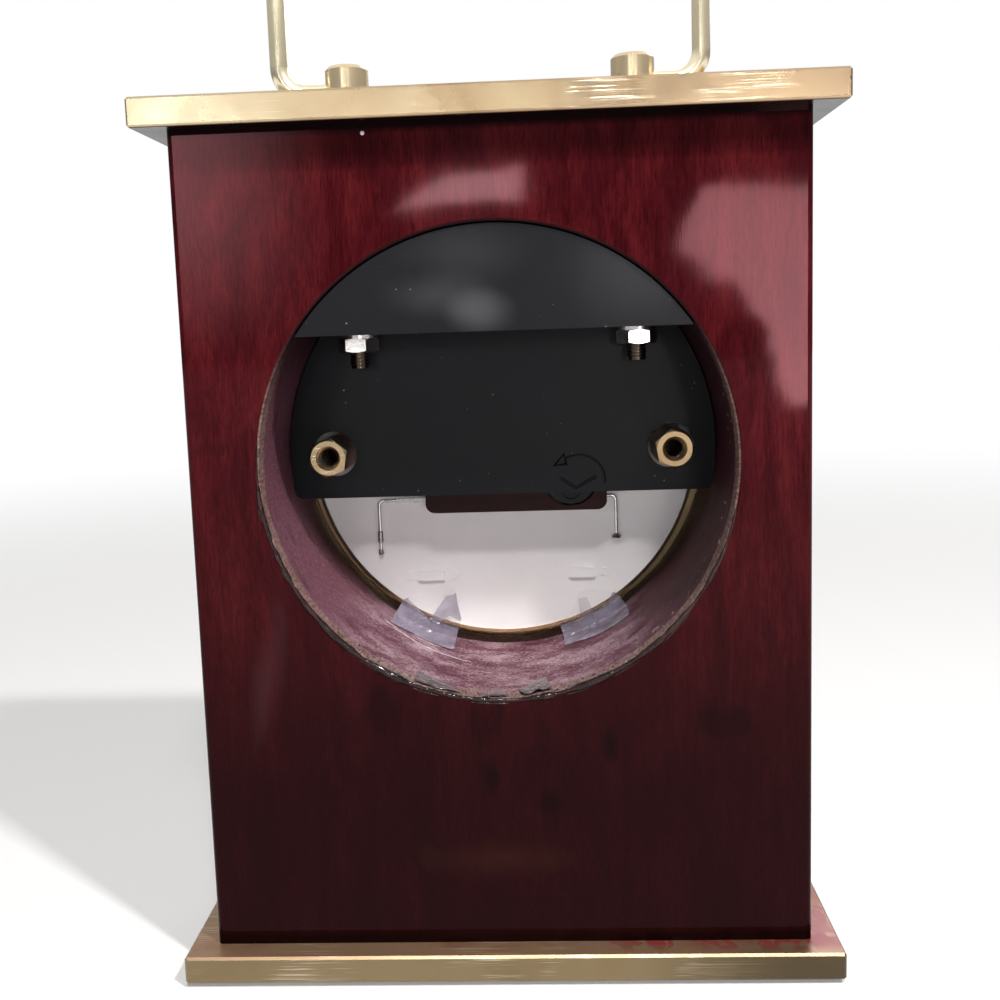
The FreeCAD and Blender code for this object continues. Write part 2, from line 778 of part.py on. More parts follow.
def minute_wheel():
    """The wheel that the cannon pinion drives, with the pinion that turns the hour wheel."""
    wheel = gear(minute_wheel_teeth, first_module, wheel_thickness, minute_wheel_turn)
    wheel.translate(Vector(0, wheel_a_front, 0))
    pinion = gear(minute_pinion_teeth, second_module, wheel_a_front - inner_front - seat_gap, minute_pinion_turn)
    pinion.translate(Vector(0, inner_front + seat_gap, 0))
    arbor = rod_y(pivot_radius, inner_front - pivot_length + seat_gap,
                  wheel_a_rear + 0.3 + pivot_length, 0, 0)
    shape = wheel.fuse([pinion, arbor]).removeSplitter()
    shape.translate(Vector(minute_wheel_x, 0, minute_wheel_z))
    return shape


def set_knob():
    """The setting knob with its stem and wheel, turned by a fingertip in its dished face."""
    disc = rod_y(knob_radius, knob_front, knob_rear, knob_x, knob_z)
    dish = rod_y(knob_finger_radius, knob_rear - 0.8, knob_rear + 1, knob_x, knob_z - knob_radius * 0.45)
    disc = disc.cut(dish)
    stem = rod_y(knob_stem_radius, wheel_a_front, knob_front + 0.2, knob_x, knob_z)
    pivot = rod_y(pivot_radius, inner_front - pivot_length + seat_gap, wheel_a_front + 0.2, knob_x, knob_z)
    wheel = gear(setting_teeth, first_module, wheel_thickness, setting_turn)
    wheel.translate(Vector(knob_x, wheel_a_front, knob_z))
    return disc.fuse([stem, wheel, pivot]).removeSplitter()


# Hands

def hand(length, width, y_front, hole_radius, angle):
    """A leaf-shaped hand with a round boss and a short tail, pointing at an angle."""
    belly = length * 0.42
    tail = -hand_tail

    def at(x, z):
        return Vector(x, 0, z)

    half = width / 2
    right = Part.Arc(at(0.5, hand_boss_radius * 0.5), at(half, belly), at(0.25, length))
    tip = Part.LineSegment(at(0.25, length), at(-0.25, length))
    left = Part.Arc(at(-0.25, length), at(-half, belly), at(-0.5, hand_boss_radius * 0.5))
    foot = Part.LineSegment(at(-0.5, hand_boss_radius * 0.5), at(0.5, hand_boss_radius * 0.5))
    leaf = Part.Face(Part.Wire([edge.toShape() for edge in (right, tip, left, foot)]))
    leaf = leaf.extrude(BACK * hand_thickness)
    tail_bar = box(-0.8, 0.8, 0, hand_thickness, tail, 0)
    tail_end = rod_y(1.4, 0, hand_thickness, 0, tail)
    boss = rod_y(hand_boss_radius, 0, hand_thickness, 0, 0)
    shape = leaf.fuse([tail_bar, tail_end, boss]).removeSplitter()
    shape = shape.cut(rod_y(hole_radius, -1, hand_thickness + 1, 0, 0))
    shape.rotate(Vector(0, 0, 0), BACK, angle)
    shape.translate(Vector(0, y_front, bore_z))
    return shape


def hour_hand():
    return hand(hour_hand_length, hour_hand_width, hour_hand_front, hour_pipe_radius + running_gap,
                hour_hand_angle)


def minute_hand():
    return hand(minute_hand_length, minute_hand_width, minute_hand_front, minute_arbor_radius + running_gap,
                minute_hand_angle)


def hand_cap():
    """A small domed cap over the end of the minute arbor."""
    arbor_front = minute_hand_front - hand_thickness
    shell = rod_y(hand_cap_radius, arbor_front - 0.5, minute_hand_front, 0, bore_z)
    rim = [edge for edge in shell.Edges if abs(edge.BoundBox.YMax - arbor_front + 0.5) < 0.001]
    shell = shell.makeFillet(0.4, rim)
    return shell.cut(rod_y(minute_arbor_radius + running_gap, arbor_front - seat_gap, minute_hand_front + 1,
                           0, bore_z))


# Electric pieces

cell_x = cell_offset
cell_z = bore_z + cell_rise
board_left = movement_left + movement_wall + board_corner_gap
board_top = movement_top - movement_wall - board_corner_gap
board_front = inner_front + seat_gap
board_rear = board_front + board_thickness
cell_front = board_rear + contact_thickness
cell_rear = cell_front + cell_thickness
coil_x = board_left + board_width / 2
coil_z = board_top - coil_radius - coil_flange - 0.6
coil_y = board_rear + coil_radius + coil_flange + seat_gap


def cell():
    """A button cell, its lower face stepped in round the negative cap."""
    can = rod_y(cell_radius, cell_front + 0.5, cell_rear, cell_x, cell_z)
    cap = rod_y(cell_radius - 1.0, cell_front, cell_front + 0.7, cell_x, cell_z)
    return can.fuse(cap).removeSplitter()


def contact_negative():
    """A flat spring under the cell's cap, reaching over to the circuit board."""
    left = board_left + board_width - contact_width
    strip = box(left, cell_x + 2, board_rear, board_rear + contact_thickness,
                cell_z - contact_width / 2, cell_z + contact_width / 2)
    end = rod_y(3.0, board_rear, board_rear + contact_thickness, cell_x, cell_z)
    return strip.fuse(end).removeSplitter()


def contact_positive():
    """A bent strip that touches the side of the cell."""
    left = cell_x - cell_radius - seat_gap - contact_thickness
    high = box(left, left + contact_thickness, board_rear + contact_thickness + 0.5, cell_rear,
               cell_z - contact_width / 2, cell_z + contact_width / 2)
    foot = box(left - contact_width, left + contact_thickness, board_rear + contact_thickness + 0.5,
               board_rear + 2 * contact_thickness + 0.5, cell_z - contact_width / 2, cell_z + contact_width / 2)
    return high.fuse(foot).removeSplitter()


def circuit_board():
    return box(board_left, board_left + board_width, board_front, board_rear, board_top - board_height, board_top)


def drive_coil():
    """The winding on its bobbin: two flanges and a thick band of wire between them."""
    start = coil_x - coil_length / 2
    end = coil_x + coil_length / 2
    winding = rod_x(coil_radius, start, end, coil_y, coil_z)
    flanges = [rod_x(coil_radius + coil_flange, x, x + coil_flange, coil_y, coil_z)
               for x in (start - coil_flange, end)]
    shape = winding.fuse(flanges).removeSplitter()
    return shape.cut(rod_x(coil_core_radius + running_gap, start - 2, end + 2, coil_y, coil_z))


def stator():
    """The coil's core and the pole plate with the round gap for the rotor magnet."""
    start = coil_x - coil_length / 2 - coil_flange - 1.5
    end = coil_x + coil_length / 2 + coil_flange + 0.5
    core = rod_x(coil_core_radius, start, end, coil_y, coil_z)
    low = board_top - board_height - stator_drop
    plate_x = start
    pole = box(plate_x, plate_x + 1.2, coil_y - coil_core_radius, coil_y + coil_core_radius, low, coil_z + 1)
    leg = box(plate_x, plate_x + stator_width, coil_y - coil_core_radius, coil_y - coil_core_radius + stator_thickness,
              low, low + stator_width)
    shape = core.fuse([pole, leg]).removeSplitter()
    hole = rod_y(rotor_hole_radius, coil_y - 3, coil_y + 3, plate_x + stator_width / 2 + 0.4, low + stator_width / 2)
    return shape.cut(hole)


def crystal():
    """The quartz crystal in its can, lying on the board beside the coil."""
    z = board_top - board_height + crystal_radius + 0.5
    x0 = board_left + 8
    return rod_x(crystal_radius, x0, x0 + crystal_length, board_rear + crystal_radius + 0.05, z)


os.makedirs("parts", exist_ok=True)
save("case_block", case_block())
save("base_plate", base_plate())
save("base_screws", base_screws())
save("foot_pads", foot_pads())
save("top_plate", top_plate())
save("handle_post_left", handle_post(-1))
save("handle_post_right", handle_post(1))
save("handle", handle())
save("post_washers", post_washers())
save("post_nuts", post_nuts())
save("bore_moulding", moulding())
save("bezel", bezel())
save("glass", glass())
save("spacer_ring", spacer_ring())
save("dial", dial())
save("dial_back", dial_back())
save("cover_posts", cover_posts())
save("tape_tabs", tape_tabs())
save("movement_case", movement_case())
save("movement_lid", movement_lid())
save("fixing_washer", fixing_washer())
save("fixing_nut", fixing_nut())
save("movement_clip_left", movement_clip(1))
save("movement_clip_right", movement_clip(-1))
save("hour_wheel", hour_wheel())
save("cannon_pinion", cannon_pinion())
save("minute_wheel", minute_wheel())
save("set_knob", set_knob())
save("hour_hand", hour_hand())
save("minute_hand", minute_hand())
save("hand_cap", hand_cap())
save("cell", cell())
save("contact_negative", contact_negative())
save("contact_positive", contact_positive())
save("circuit_board", circuit_board())
save("drive_coil", drive_coil())
save("stator", stator())
save("crystal", crystal())

for name, shape in made.items():
    limits = shape.BoundBox
    print(name, len(shape.Solids), "valid" if shape.isValid() else "NOT VALID",
          round(shape.Volume, 2), round(limits.XMin, 2), round(limits.XMax, 2),
          round(limits.YMin, 2), round(limits.YMax, 2), round(limits.ZMin, 2), round(limits.ZMax, 2))
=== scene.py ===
import math

import bpy
from mathutils import Matrix, Vector, noise


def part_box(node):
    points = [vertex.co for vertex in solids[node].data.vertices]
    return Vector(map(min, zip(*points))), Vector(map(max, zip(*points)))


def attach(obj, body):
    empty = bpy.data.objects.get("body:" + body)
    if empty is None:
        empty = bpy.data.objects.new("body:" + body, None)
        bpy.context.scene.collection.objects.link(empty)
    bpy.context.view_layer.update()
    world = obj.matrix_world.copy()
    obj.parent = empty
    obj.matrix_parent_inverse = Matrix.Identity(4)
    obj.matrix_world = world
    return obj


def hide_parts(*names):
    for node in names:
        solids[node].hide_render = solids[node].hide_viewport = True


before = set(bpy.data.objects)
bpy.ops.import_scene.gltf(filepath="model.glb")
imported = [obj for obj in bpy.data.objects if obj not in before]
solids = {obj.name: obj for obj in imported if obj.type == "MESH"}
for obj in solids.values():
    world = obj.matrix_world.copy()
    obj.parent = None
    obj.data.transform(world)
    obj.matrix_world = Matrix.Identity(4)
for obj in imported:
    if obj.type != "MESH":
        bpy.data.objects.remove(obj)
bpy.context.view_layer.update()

# The viewer
# The clock is seen from behind, a quarter of a metre away, from a little above the middle
# of its open bore.
def placed(name, data):
    """A new object at the origin, linked to the scene."""
    thing = bpy.data.objects.new(name, data)
    bpy.context.scene.collection.objects.link(thing)
    return thing


def radians(*turns):
    return [math.radians(turn) for turn in turns]


lens = bpy.data.cameras.new("viewer")
lens.sensor_width = 36.0
lens.lens = 42.05
lens.shift_x = 0.0121
lens.shift_y = -0.0244
lens.clip_start = 0.01
viewer = placed("viewer", lens)
viewer.location = (-0.00968, 0.26648, 0.14089)
viewer.rotation_euler = radians(82.682, 1.870, -177.492)
bpy.context.scene.camera = viewer
bpy.context.scene.view_settings.view_transform = "Standard"


# The table
# A pale matt table that fades into a white room, with the clock's shadow left on it.
def new_material(name, roughness, **values):
    """A material and the place that its patterns are counted from: the part's own frame."""
    material = bpy.data.materials.new(name)
    material.use_nodes = True
    feed(material, Roughness=roughness, **values)
    return material, put(material, "TexCoord").outputs["Object"]


def feed(material, **values):
    """Sets or wires inputs of the material's shader; their names are given with underscores."""
    for name, value in values.items():
        socket = material.node_tree.nodes["Principled BSDF"].inputs[name.replace("_", " ")]
        if isinstance(value, bpy.types.NodeSocket):
            material.node_tree.links.new(value, socket)
        else:
            socket.default_value = value


def put(material, kind, sockets=None, **settings):
    """A shader node with its inputs set, or wired where the value is another node's output."""
    node = material.node_tree.nodes.new("ShaderNode" + kind)
    for key, value in settings.items():
        setattr(node, key, value)
    for key, value in (sockets or {}).items():
        if isinstance(value, bpy.types.NodeSocket):
            material.node_tree.links.new(value, node.inputs[key])
        else:
            node.inputs[key].default_value = value
    return node


def figure(material, operation, first, second=0.0):
    return put(material, "Math", {0: first, 1: second}, operation=operation).outputs[0]


def times(material, *factors):
    product = factors[0]
    for factor in factors[1:]:
        product = figure(material, "MULTIPLY", product, factor)
    return product


def plus(material, first, second):
    return figure(material, "ADD", first, second)


def minus(material, first, second):
    return figure(material, "SUBTRACT", first, second)


def larger(material, first, second):
    return figure(material, "MAXIMUM", first, second)


def length(material, place):
    return put(material, "VectorMath", {0: place}, operation="LENGTH").outputs["Value"]


def apart(material, place):
    return put(material, "SeparateXYZ", {0: place}).outputs


def share(material, value, low, high):
    """0 where the value is at low, 1 at high, smooth between; low may be the larger."""
    sockets = {"Value": value, "From Min": low, "From Max": high}
    return put(material, "MapRange", sockets, interpolation_type="SMOOTHSTEP").outputs[0]


def between(material, value, start, end, low=0.0, high=1.0):
    """start where the value is at low, end at high, in a straight line between."""
    sockets = {"Value": value, "From Min": low, "From Max": high, "To Min": start, "To Max": end}
    return put(material, "MapRange", sockets).outputs[0]


def to_camera(material):
    rays = put(material, "LightPath").outputs
    seen = larger(material, rays["Is Camera Ray"], rays["Is Glossy Ray"])
    return larger(material, seen, rays["Is Transmission Ray"])


table_reach = 4.0
fade_starts, fade_ends = 0.15, 1.1
white_at_clock = 0.25
table, place = new_material("pale_table", 0.8, Base_Color=(0.70, 0.70, 0.70, 1), Specular_IOR_Level=0.1)
faded = share(table, length(table, place), fade_starts, fade_ends)
faded = between(table, faded, white_at_clock, 1.0)
white = put(table, "Emission", {"Color": (1, 1, 1, 1), "Strength": 1.0}).outputs[0]
matt = table.node_tree.nodes["Principled BSDF"].outputs[0]
how_white = times(table, faded, to_camera(table))
laid = put(table, "MixShader", {0: how_white, 1: matt, 2: white}).outputs[0]
table.node_tree.links.new(laid, table.node_tree.nodes["Material Output"].inputs["Surface"])
sheet = bpy.data.meshes.new("table")
corners = [(x * table_reach, y * table_reach, 0) for x, y in ((-1, -1), (1, -1), (1, 1), (-1, 1))]
sheet.from_pydata(corners, [], [(0, 1, 2, 3)])
sheet.materials.append(table)
table_top = placed("table", sheet)

# The light
# Two lamps above and behind the viewer and a soft one in front of the dial. The lacquer
# mirrors two windows, a bright wall and the pale room; a frosted lamp has their outlines.
def blend(material, amount, below, above):
    return put(material, "Mix", {0: amount, 2: below, 3: above}).outputs[0]


room = bpy.data.worlds.new("room")
bpy.context.scene.world = room
room.use_nodes = True
way = put(room, "TexCoord").outputs["Generated"]
height = apart(room, way)["Z"]
room_level, ceiling_level = 0.14, 0.90
mirrored = between(room, share(room, height, -0.1, 0.7), room_level, ceiling_level)
rays = put(room, "LightPath").outputs
seen = larger(room, rays["Is Camera Ray"], rays["Is Transmission Ray"])
level = blend(room, rays["Is Glossy Ray"], room_level, mirrored)
level = blend(room, seen, level, 1.0)
room.node_tree.links.new(level, room.node_tree.nodes["Background"].inputs["Strength"])
room.node_tree.nodes["Background"].inputs["Color"].default_value = (1, 1, 1, 1)


def lamp(name, where, aim, width, height, watts, colour=(1, 1, 1)):
    light = bpy.data.lights.new(name, "AREA")
    light.shape = "RECTANGLE"
    light.size = width
    light.size_y = height
    light.energy = watts
    light.color = colour
    held = placed(name, light)
    held.location = where
    held.rotation_euler = (Vector(aim) - Vector(where)).to_track_quat("-Z", "Y").to_euler()
    return light


def frosted(light, shape):
    """Gives a lamp an outline: shape returns how bright it is at (across, up), each 0 to 1."""
    light.use_nodes = True
    place = put(light, "NewGeometry").outputs["Parametric"]
    ragged = put(light, "TexNoise", {"Vector": place, "Scale": 7.0, "Detail": 4.0}).outputs[0]
    ragged = between(light, ragged, -0.08, 0.08)
    across, up = [plus(light, apart(light, place)[axis], ragged) for axis in "XY"]
    level = shape(light, across, up)
    light.node_tree.links.new(level, light.node_tree.nodes["Emission"].inputs["Strength"])


def line(light, across, up, start, rise):
    """How far a point is above the line that starts at height start and rises to the right."""
    return minus(light, minus(light, up, start), times(light, across, rise))


def cut_pane(light, across, up):
    """A window with its lower left cut off along two lines, and its upper left along one."""
    lower = larger(light, line(light, across, up, 0.733, -0.52), line(light, across, up, 1.32, -1.67))
    pane = share(light, lower, -0.02, 0.02)
    corner = share(light, line(light, across, up, 0.70, 1.45), 0.03, -0.02)
    return times(light, pane, corner, between(light, up, 0.85, 1.1, 1.0, 0.0))


def bowed_strip(light, across, up):
    """A slanting strip with a bowed lower edge that widens from its left end."""
    bow = times(light, across, across, 0.22)
    low = line(light, across, plus(light, up, bow), 0.02, 0.38)
    high = minus(light, low, times(light, share(light, across, -0.05, 0.45), 0.70))
    strip = times(light, share(light, low, -0.02, 0.05), share(light, high, 0.06, -0.08))
    return times(light, strip, share(light, across, 0.97, 0.90))


def faded_wall(light, across, up):
    """A wall that fades out to one side and below."""
    return times(light, share(light, across, 0.95, 0.10), share(light, up, 0.05, 0.75))


centre = (0, 0, 0.11)
warm_white, cool_white = (1.0, 0.97, 0.94), (0.85, 1.0, 1.0)
far_back = 1.50
lamp("ceiling_lamp", (-0.05, 0.64, 0.96), centre, 0.20, 0.20, 10.0, warm_white)
lamp("side_lamp", (-0.45, 0.50, 0.91), centre, 0.05, 0.05, 11.5, warm_white)
lamp("front_wall", (-0.5, -1.6, 1.0), centre, 1.0, 0.8, 10.0)
for name, x, z, wide, tall, watts, colour, shape in (
        ("right_window", -0.31, 0.168, 0.20, 0.31, 4.0, (1, 1, 1), cut_pane),
        ("left_window", 0.10, 0.34, 0.21, 0.075, 1.25, cool_white, bowed_strip),
        ("left_wall", 0.41, 0.26, 0.30, 0.42, 3.9, (1, 1, 1), faded_wall)):
    frosted(lamp(name, (x, far_back, z), (x, 0.0, z), wide, tall, watts, colour), shape)

# Case block
# A solid block of hardwood, stained red and laid up in clear gloss lacquer. The bore
# right through it is left rough from the cutter.
bore_height = 0.112
bore_radius = 0.050
block_low, block_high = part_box("case_block")
block_back = block_high.y


def stretched(material, place, scale, turn=(0, 0, 0)):
    sockets = {"Vector": place, "Scale": scale, "Rotation": radians(*turn)}
    return put(material, "Mapping", sockets).outputs[0]


def cloud(material, place, scale, detail=3.0, roughness=0.5, distortion=0.0):
    sockets = {"Vector": place, "Scale": scale, "Detail": detail, "Roughness": roughness,
               "Distortion": distortion}
    return put(material, "TexNoise", sockets).outputs[0]


def tints(material, value, *stops):
    """A colour for each value: stops are (value, red, green, blue)."""
    node = put(material, "ValToRGB", {0: value})
    steps = node.color_ramp.elements
    steps[0].position, steps[1].position = stops[0][0], stops[-1][0]
    steps[0].color, steps[1].color = (*stops[0][1:], 1), (*stops[-1][1:], 1)
    for stop in stops[1:-1]:
        steps.new(stop[0]).color = (*stop[1:], 1)
    return node.outputs["Color"]


def over(material, amount, below, above, strength=1.0):
    """Lays one colour over another where amount is 1, as thick as strength says."""
    sockets = {0: times(material, amount, strength), 6: below, 7: above}
    return put(material, "Mix", sockets, data_type="RGBA").outputs[2]


def off_oval(material, place, x, z, wide, tall, lean=0.0):
    """How far a point is from the middle of an upright oval, counted in the oval's radii."""
    spot = put(material, "VectorMath", {0: place, 1: (x, 0, z)}, operation="SUBTRACT").outputs[0]
    sockets = {"Vector": spot, "Rotation": (0, math.radians(lean), 0)}
    spot = put(material, "Mapping", sockets).outputs[0]
    shares = {0: spot, 1: (1 / wide, 0, 1 / tall)}
    return length(material, put(material, "VectorMath", shares, operation="MULTIPLY").outputs[0])


def relief(material, height, depth):
    node = put(material, "Bump", {"Height": height, "Distance": depth, "Strength": 1.0})
    feed(material, Normal=node.outputs[0])


def finish(material, *names):
    for name in names:
        for holder in solids[name].material_slots:
            holder.material = material


wood, place = new_material("red_lacquered_wood", 0.1, Specular_IOR_Level=0.15,
                           Specular_Tint=(1.0, 0.42, 0.46, 1))
split = apart(wood, place)
pores = cloud(wood, stretched(wood, place, (1, 1, 0.10)), 2900, 3, 0.6)
streaks = cloud(wood, stretched(wood, place, (1, 1, 0.10)), 260, 4, 0.6, 0.5)
mottle = cloud(wood, stretched(wood, place, (1, 1, 0.40)), 52, 4, 0.6, 1.5)
ticks = cloud(wood, stretched(wood, place, (1, 1, 0.09)), 5200, 2, 0.5)
grain = plus(wood, times(wood, pores, 0.5), times(wood, streaks, 0.5))
red = tints(wood, grain, (0.34, 0.022, 0.0014, 0.0022), (0.50, 0.047, 0.0038, 0.0054),
            (0.66, 0.072, 0.0080, 0.0092))
dark = tints(wood, grain, (0.34, 0.016, 0.0011, 0.0020), (0.66, 0.044, 0.0036, 0.0058))
red = over(wood, share(wood, mottle, 0.60, 0.42), red, dark)
red = over(wood, share(wood, ticks, 0.58, 0.68), red, (0.010, 0.0008, 0.0014, 1), 0.60)
# Painted shade: the wood darkens towards the bottom of the block, where less light reaches it.
dark_from, darkest = 0.128, 0.034
painted_low_shade = share(wood, split["Z"], dark_from, darkest)
red = over(wood, painted_low_shade, red, (0.0022, 0.0003, 0.0005, 1), 0.88)

# Smudges and painted reflections are given by their x and z, their two radii and their strength or lean; the
# reflections also by their colour.
soot = plus(wood, mottle, times(wood, streaks, 1.5))
smudges = ((0.0035, 0.0450, 0.0032, 0.0052, 0.95), (-0.0223, 0.0505, 0.0017, 0.0052, 1.0),
           (-0.0092, 0.0382, 0.0036, 0.0040, 0.8), (0.0266, 0.0600, 0.0050, 0.0060, 0.5),
           (0.0035, 0.0560, 0.0050, 0.0060, 0.4), (-0.0460, 0.0560, 0.0080, 0.0040, 0.6))
for x, z, wide, tall, depth in smudges:
    ragged = plus(wood, off_oval(wood, place, x, z, wide, tall), soot)
    red = over(wood, share(wood, ragged, 2.50, 1.50), red, (0.0006, 0.0002, 0.0003, 1), depth)
# Painted reflections on the lacquer: a pale upright smear at the left and a brown band low in the middle.
painted_reflections = ((0.0505, 0.0680, 0.0040, 0.0200, 10, (0.040, 0.016, 0.019, 1)),
         (0.0010, 0.0262, 0.0190, 0.0052, 0, (0.024, 0.0085, 0.0050, 1)))
for x, z, wide, tall, lean, tone in painted_reflections:
    ragged = plus(wood, off_oval(wood, place, x, z, wide, tall, lean), plus(wood, streaks, mottle))
    red = over(wood, share(wood, ragged, 2.10, 1.10), red, tone, 0.45)
# A small white spot near the top edge of the block's back.
white_spot_place = (0.0249, block_back, block_high.z - 0.0019)
white_spot_radius = 0.00040
white_spot = put(wood, "VectorMath", {0: place, 1: white_spot_place}, operation="DISTANCE").outputs["Value"]
white_spot = share(wood, white_spot, white_spot_radius + 0.00010, white_spot_radius - 0.00010)
red = over(wood, white_spot, red, (0.85, 0.80, 0.80, 1))
# Painted shade: dark bands along the block's top, under the top plate's overhang, and along its foot above
# the base plate.
painted_top_shade = share(wood, split["Z"], block_high.z - 0.0024, block_high.z - 0.0005)
painted_base_shade = share(wood, split["Z"], block_low.z + 0.0028, block_low.z + 0.0014)
red = over(wood, larger(wood, painted_top_shade, painted_base_shade), red, (0.0010, 0.0004, 0.0004, 1))

from_axis = put(wood, "Mapping", {"Vector": place, "Location": (0, 0, -bore_height), "Scale": (1, 0, 1)})
radius = length(wood, from_axis.outputs[0])
drop = minus(wood, bore_height, split["Z"])
arc = times(wood, figure(wood, "ARCTAN2", split["X"], drop), bore_radius)
unrolled = put(wood, "CombineXYZ", {0: arc, 1: split["Y"]}).outputs[0]
cuts = cloud(wood, stretched(wood, unrolled, (0.30, 1, 1)), 1900, 4, 0.7)
fuzz = cloud(wood, unrolled, 1700, 3, 0.7)
patchy = cloud(wood, stretched(wood, unrolled, (0.6, 1, 1)), 130, 5, 0.65, 0.5)
rubbed = plus(wood, times(wood, cuts, 0.45), times(wood, fuzz, 0.55))
raw = tints(wood, rubbed, (0.34, 0.036, 0.010, 0.017), (0.50, 0.105, 0.037, 0.056),
            (0.66, 0.225, 0.125, 0.155))
dust = share(wood, plus(wood, rubbed, patchy), 0.90, 1.22)
dust = times(wood, dust, share(wood, drop, 0.030, 0.046))
raw = over(wood, dust, raw, (0.44, 0.32, 0.36, 1), 0.70)
raw = over(wood, share(wood, patchy, 0.46, 0.30), raw, (0.045, 0.014, 0.020, 1), 0.8)
# Painted shade: the bore's wall is darkened on its right side, which the light does not reach.
shaded_right_side = share(wood, arc, -0.012, -0.050)
raw = over(wood, shaded_right_side, raw, (0.020, 0.005, 0.007, 1), 0.88)
# Painted glints: scratches near the rim on the shaded right side, painted as bright flecks where light
# catches them.
slanted = stretched(wood, unrolled, (0.9, 0.35, 1), (0, 0, 24))
scratch_glints = share(wood, cloud(wood, slanted, 620, 3, 0.6), 0.60, 0.70)
near_edge = share(wood, split["Y"], 0.008, 0.020)
scratch_glints = times(wood, scratch_glints, shaded_right_side, near_edge, share(wood, patchy, 0.42, 0.56))
raw = over(wood, scratch_glints, raw, (0.62, 0.46, 0.44, 1))
splintered = cloud(wood, stretched(wood, unrolled, (1, 0.25, 1)), 1500, 3, 0.6)
bare = tints(wood, splintered, (0.35, 0.070, 0.036, 0.030), (0.64, 0.240, 0.160, 0.140))
rim_start = block_back - 0.0034
rim = share(wood, plus(wood, split["Y"], times(wood, patchy, 0.004)), rim_start, rim_start + 0.0008)
raw = over(wood, rim, raw, bare, 0.85)
# Painted shade: the bore's wall goes nearly black towards its top, under the moulding.
raw = over(wood, share(wood, split["Z"], 0.120, 0.142), raw, (0.010, 0.003, 0.004, 1))

inside = share(wood, radius, bore_radius + 0.00045, bore_radius + 0.00015)
smooth = between(wood, cloud(wood, place, 60, 2), 0.03, 0.075)
feed(wood, Base_Color=over(wood, inside, red, raw),
     Roughness=blend(wood, inside, smooth, between(wood, patchy, 0.42, 0.70)))
skin = plus(wood, times(wood, cloud(wood, place, 34, 2, 0.4), 0.16), times(wood, pores, 0.0022))
gouges = times(wood, plus(wood, rubbed, patchy), 0.45)
relief(wood, blend(wood, inside, skin, gouges), 0.0006)
finish(wood, "case_block")

# Lacquer at the bore's edge
# The lacquer gathered in a thick, wavy bead on the edge of the bore and was chipped when
# the clock was last opened. Splinters of it and dried glue lie on the wood inside.
def tree_of(name, **sizes):
    """An empty geometry tree with named inputs for its sizes."""
    tree = bpy.data.node_groups.new(name, "GeometryNodeTree")
    tree.interface.new_socket("Geometry", in_out="OUTPUT", socket_type="NodeSocketGeometry")
    kinds = {int: "NodeSocketInt", float: "NodeSocketFloat", tuple: "NodeSocketVector"}
    for label, value in sizes.items():
        tree.interface.new_socket(label, in_out="INPUT", socket_type=kinds[type(value)])
    tree.nodes.new("NodeGroupInput").name = "sizes"
    tree.nodes.new("NodeGroupOutput").name = "made"
    return tree


def lay(tree, kind, sockets=None, output=0, **settings):
    """A geometry node's output; a value given as text takes the tree's input of that name."""
    node = tree.nodes.new(kind)
    for key, value in settings.items():
        setattr(node, key, value)
    for key, value in (sockets or {}).items():
        if isinstance(value, str):
            value = tree.nodes["sizes"].outputs[value]
        if isinstance(value, bpy.types.NodeSocket):
            tree.links.new(value, node.inputs[key])
        else:
            node.inputs[key].default_value = value
    return node.outputs[output]


def tally(tree, operation, *values):
    return lay(tree, "ShaderNodeMath", dict(enumerate(values)), operation=operation)


def stood_up(tree, flat, where):
    """Tips a shape that lies on the floor to face along Y, and moves it to a place."""
    sockets = {"Geometry": flat, "Rotation": (math.pi / 2, 0, 0), "Translation": where}
    return lay(tree, "GeometryNodeTransform", sockets)


def as_mesh(thing):
    """The finished shape of a curve, a text or a grown piece, which is itself removed."""
    bpy.context.view_layer.update()
    seen = thing.evaluated_get(bpy.context.evaluated_depsgraph_get())
    mesh = bpy.data.meshes.new_from_object(seen)
    bpy.data.objects.remove(thing)
    return mesh


def grown(name, tree, last, material, sizes):
    """The tree's result as a plain mesh object with its modifier gone."""
    real = lay(tree, "GeometryNodeRealizeInstances", {0: last})
    painted = lay(tree, "GeometryNodeSetMaterial", {0: real, "Material": material})
    tree.links.new(painted, tree.nodes["made"].inputs[0])
    seed_piece = placed(name + "_seed", bpy.data.meshes.new(name + "_seed"))
    grower = seed_piece.modifiers.new(name, "NODES")
    grower.node_group = tree
    for item in tree.interface.items_tree:
        if item.in_out == "INPUT" and item.name in sizes:
            grower[item.identifier] = sizes[item.name]
    mesh = as_mesh(seed_piece)
    mesh.name = name
    return placed(name, mesh)


lacquer, place = new_material("dark_lacquer", 0.05, Specular_IOR_Level=0.28)
thin = cloud(lacquer, place, 260, 3, 0.6)
feed(lacquer, Base_Color=tints(lacquer, thin, (0.35, 0.004, 0.002, 0.002), (0.70, 0.030, 0.012, 0.011)))
relief(lacquer, cloud(lacquer, place, 500, 2), 0.0002)
splinters, place = new_material("lacquer_splinters", 0.14)
cloudy = cloud(splinters, place, 700, 3, 0.6)
tone = tints(splinters, cloudy, (0.3, 0.035, 0.024, 0.028), (0.7, 0.130, 0.105, 0.112))
feed(splinters, Base_Color=tone)
relief(splinters, cloudy, 0.0002)
on_rim = (0, block_back - 0.00018, bore_height)


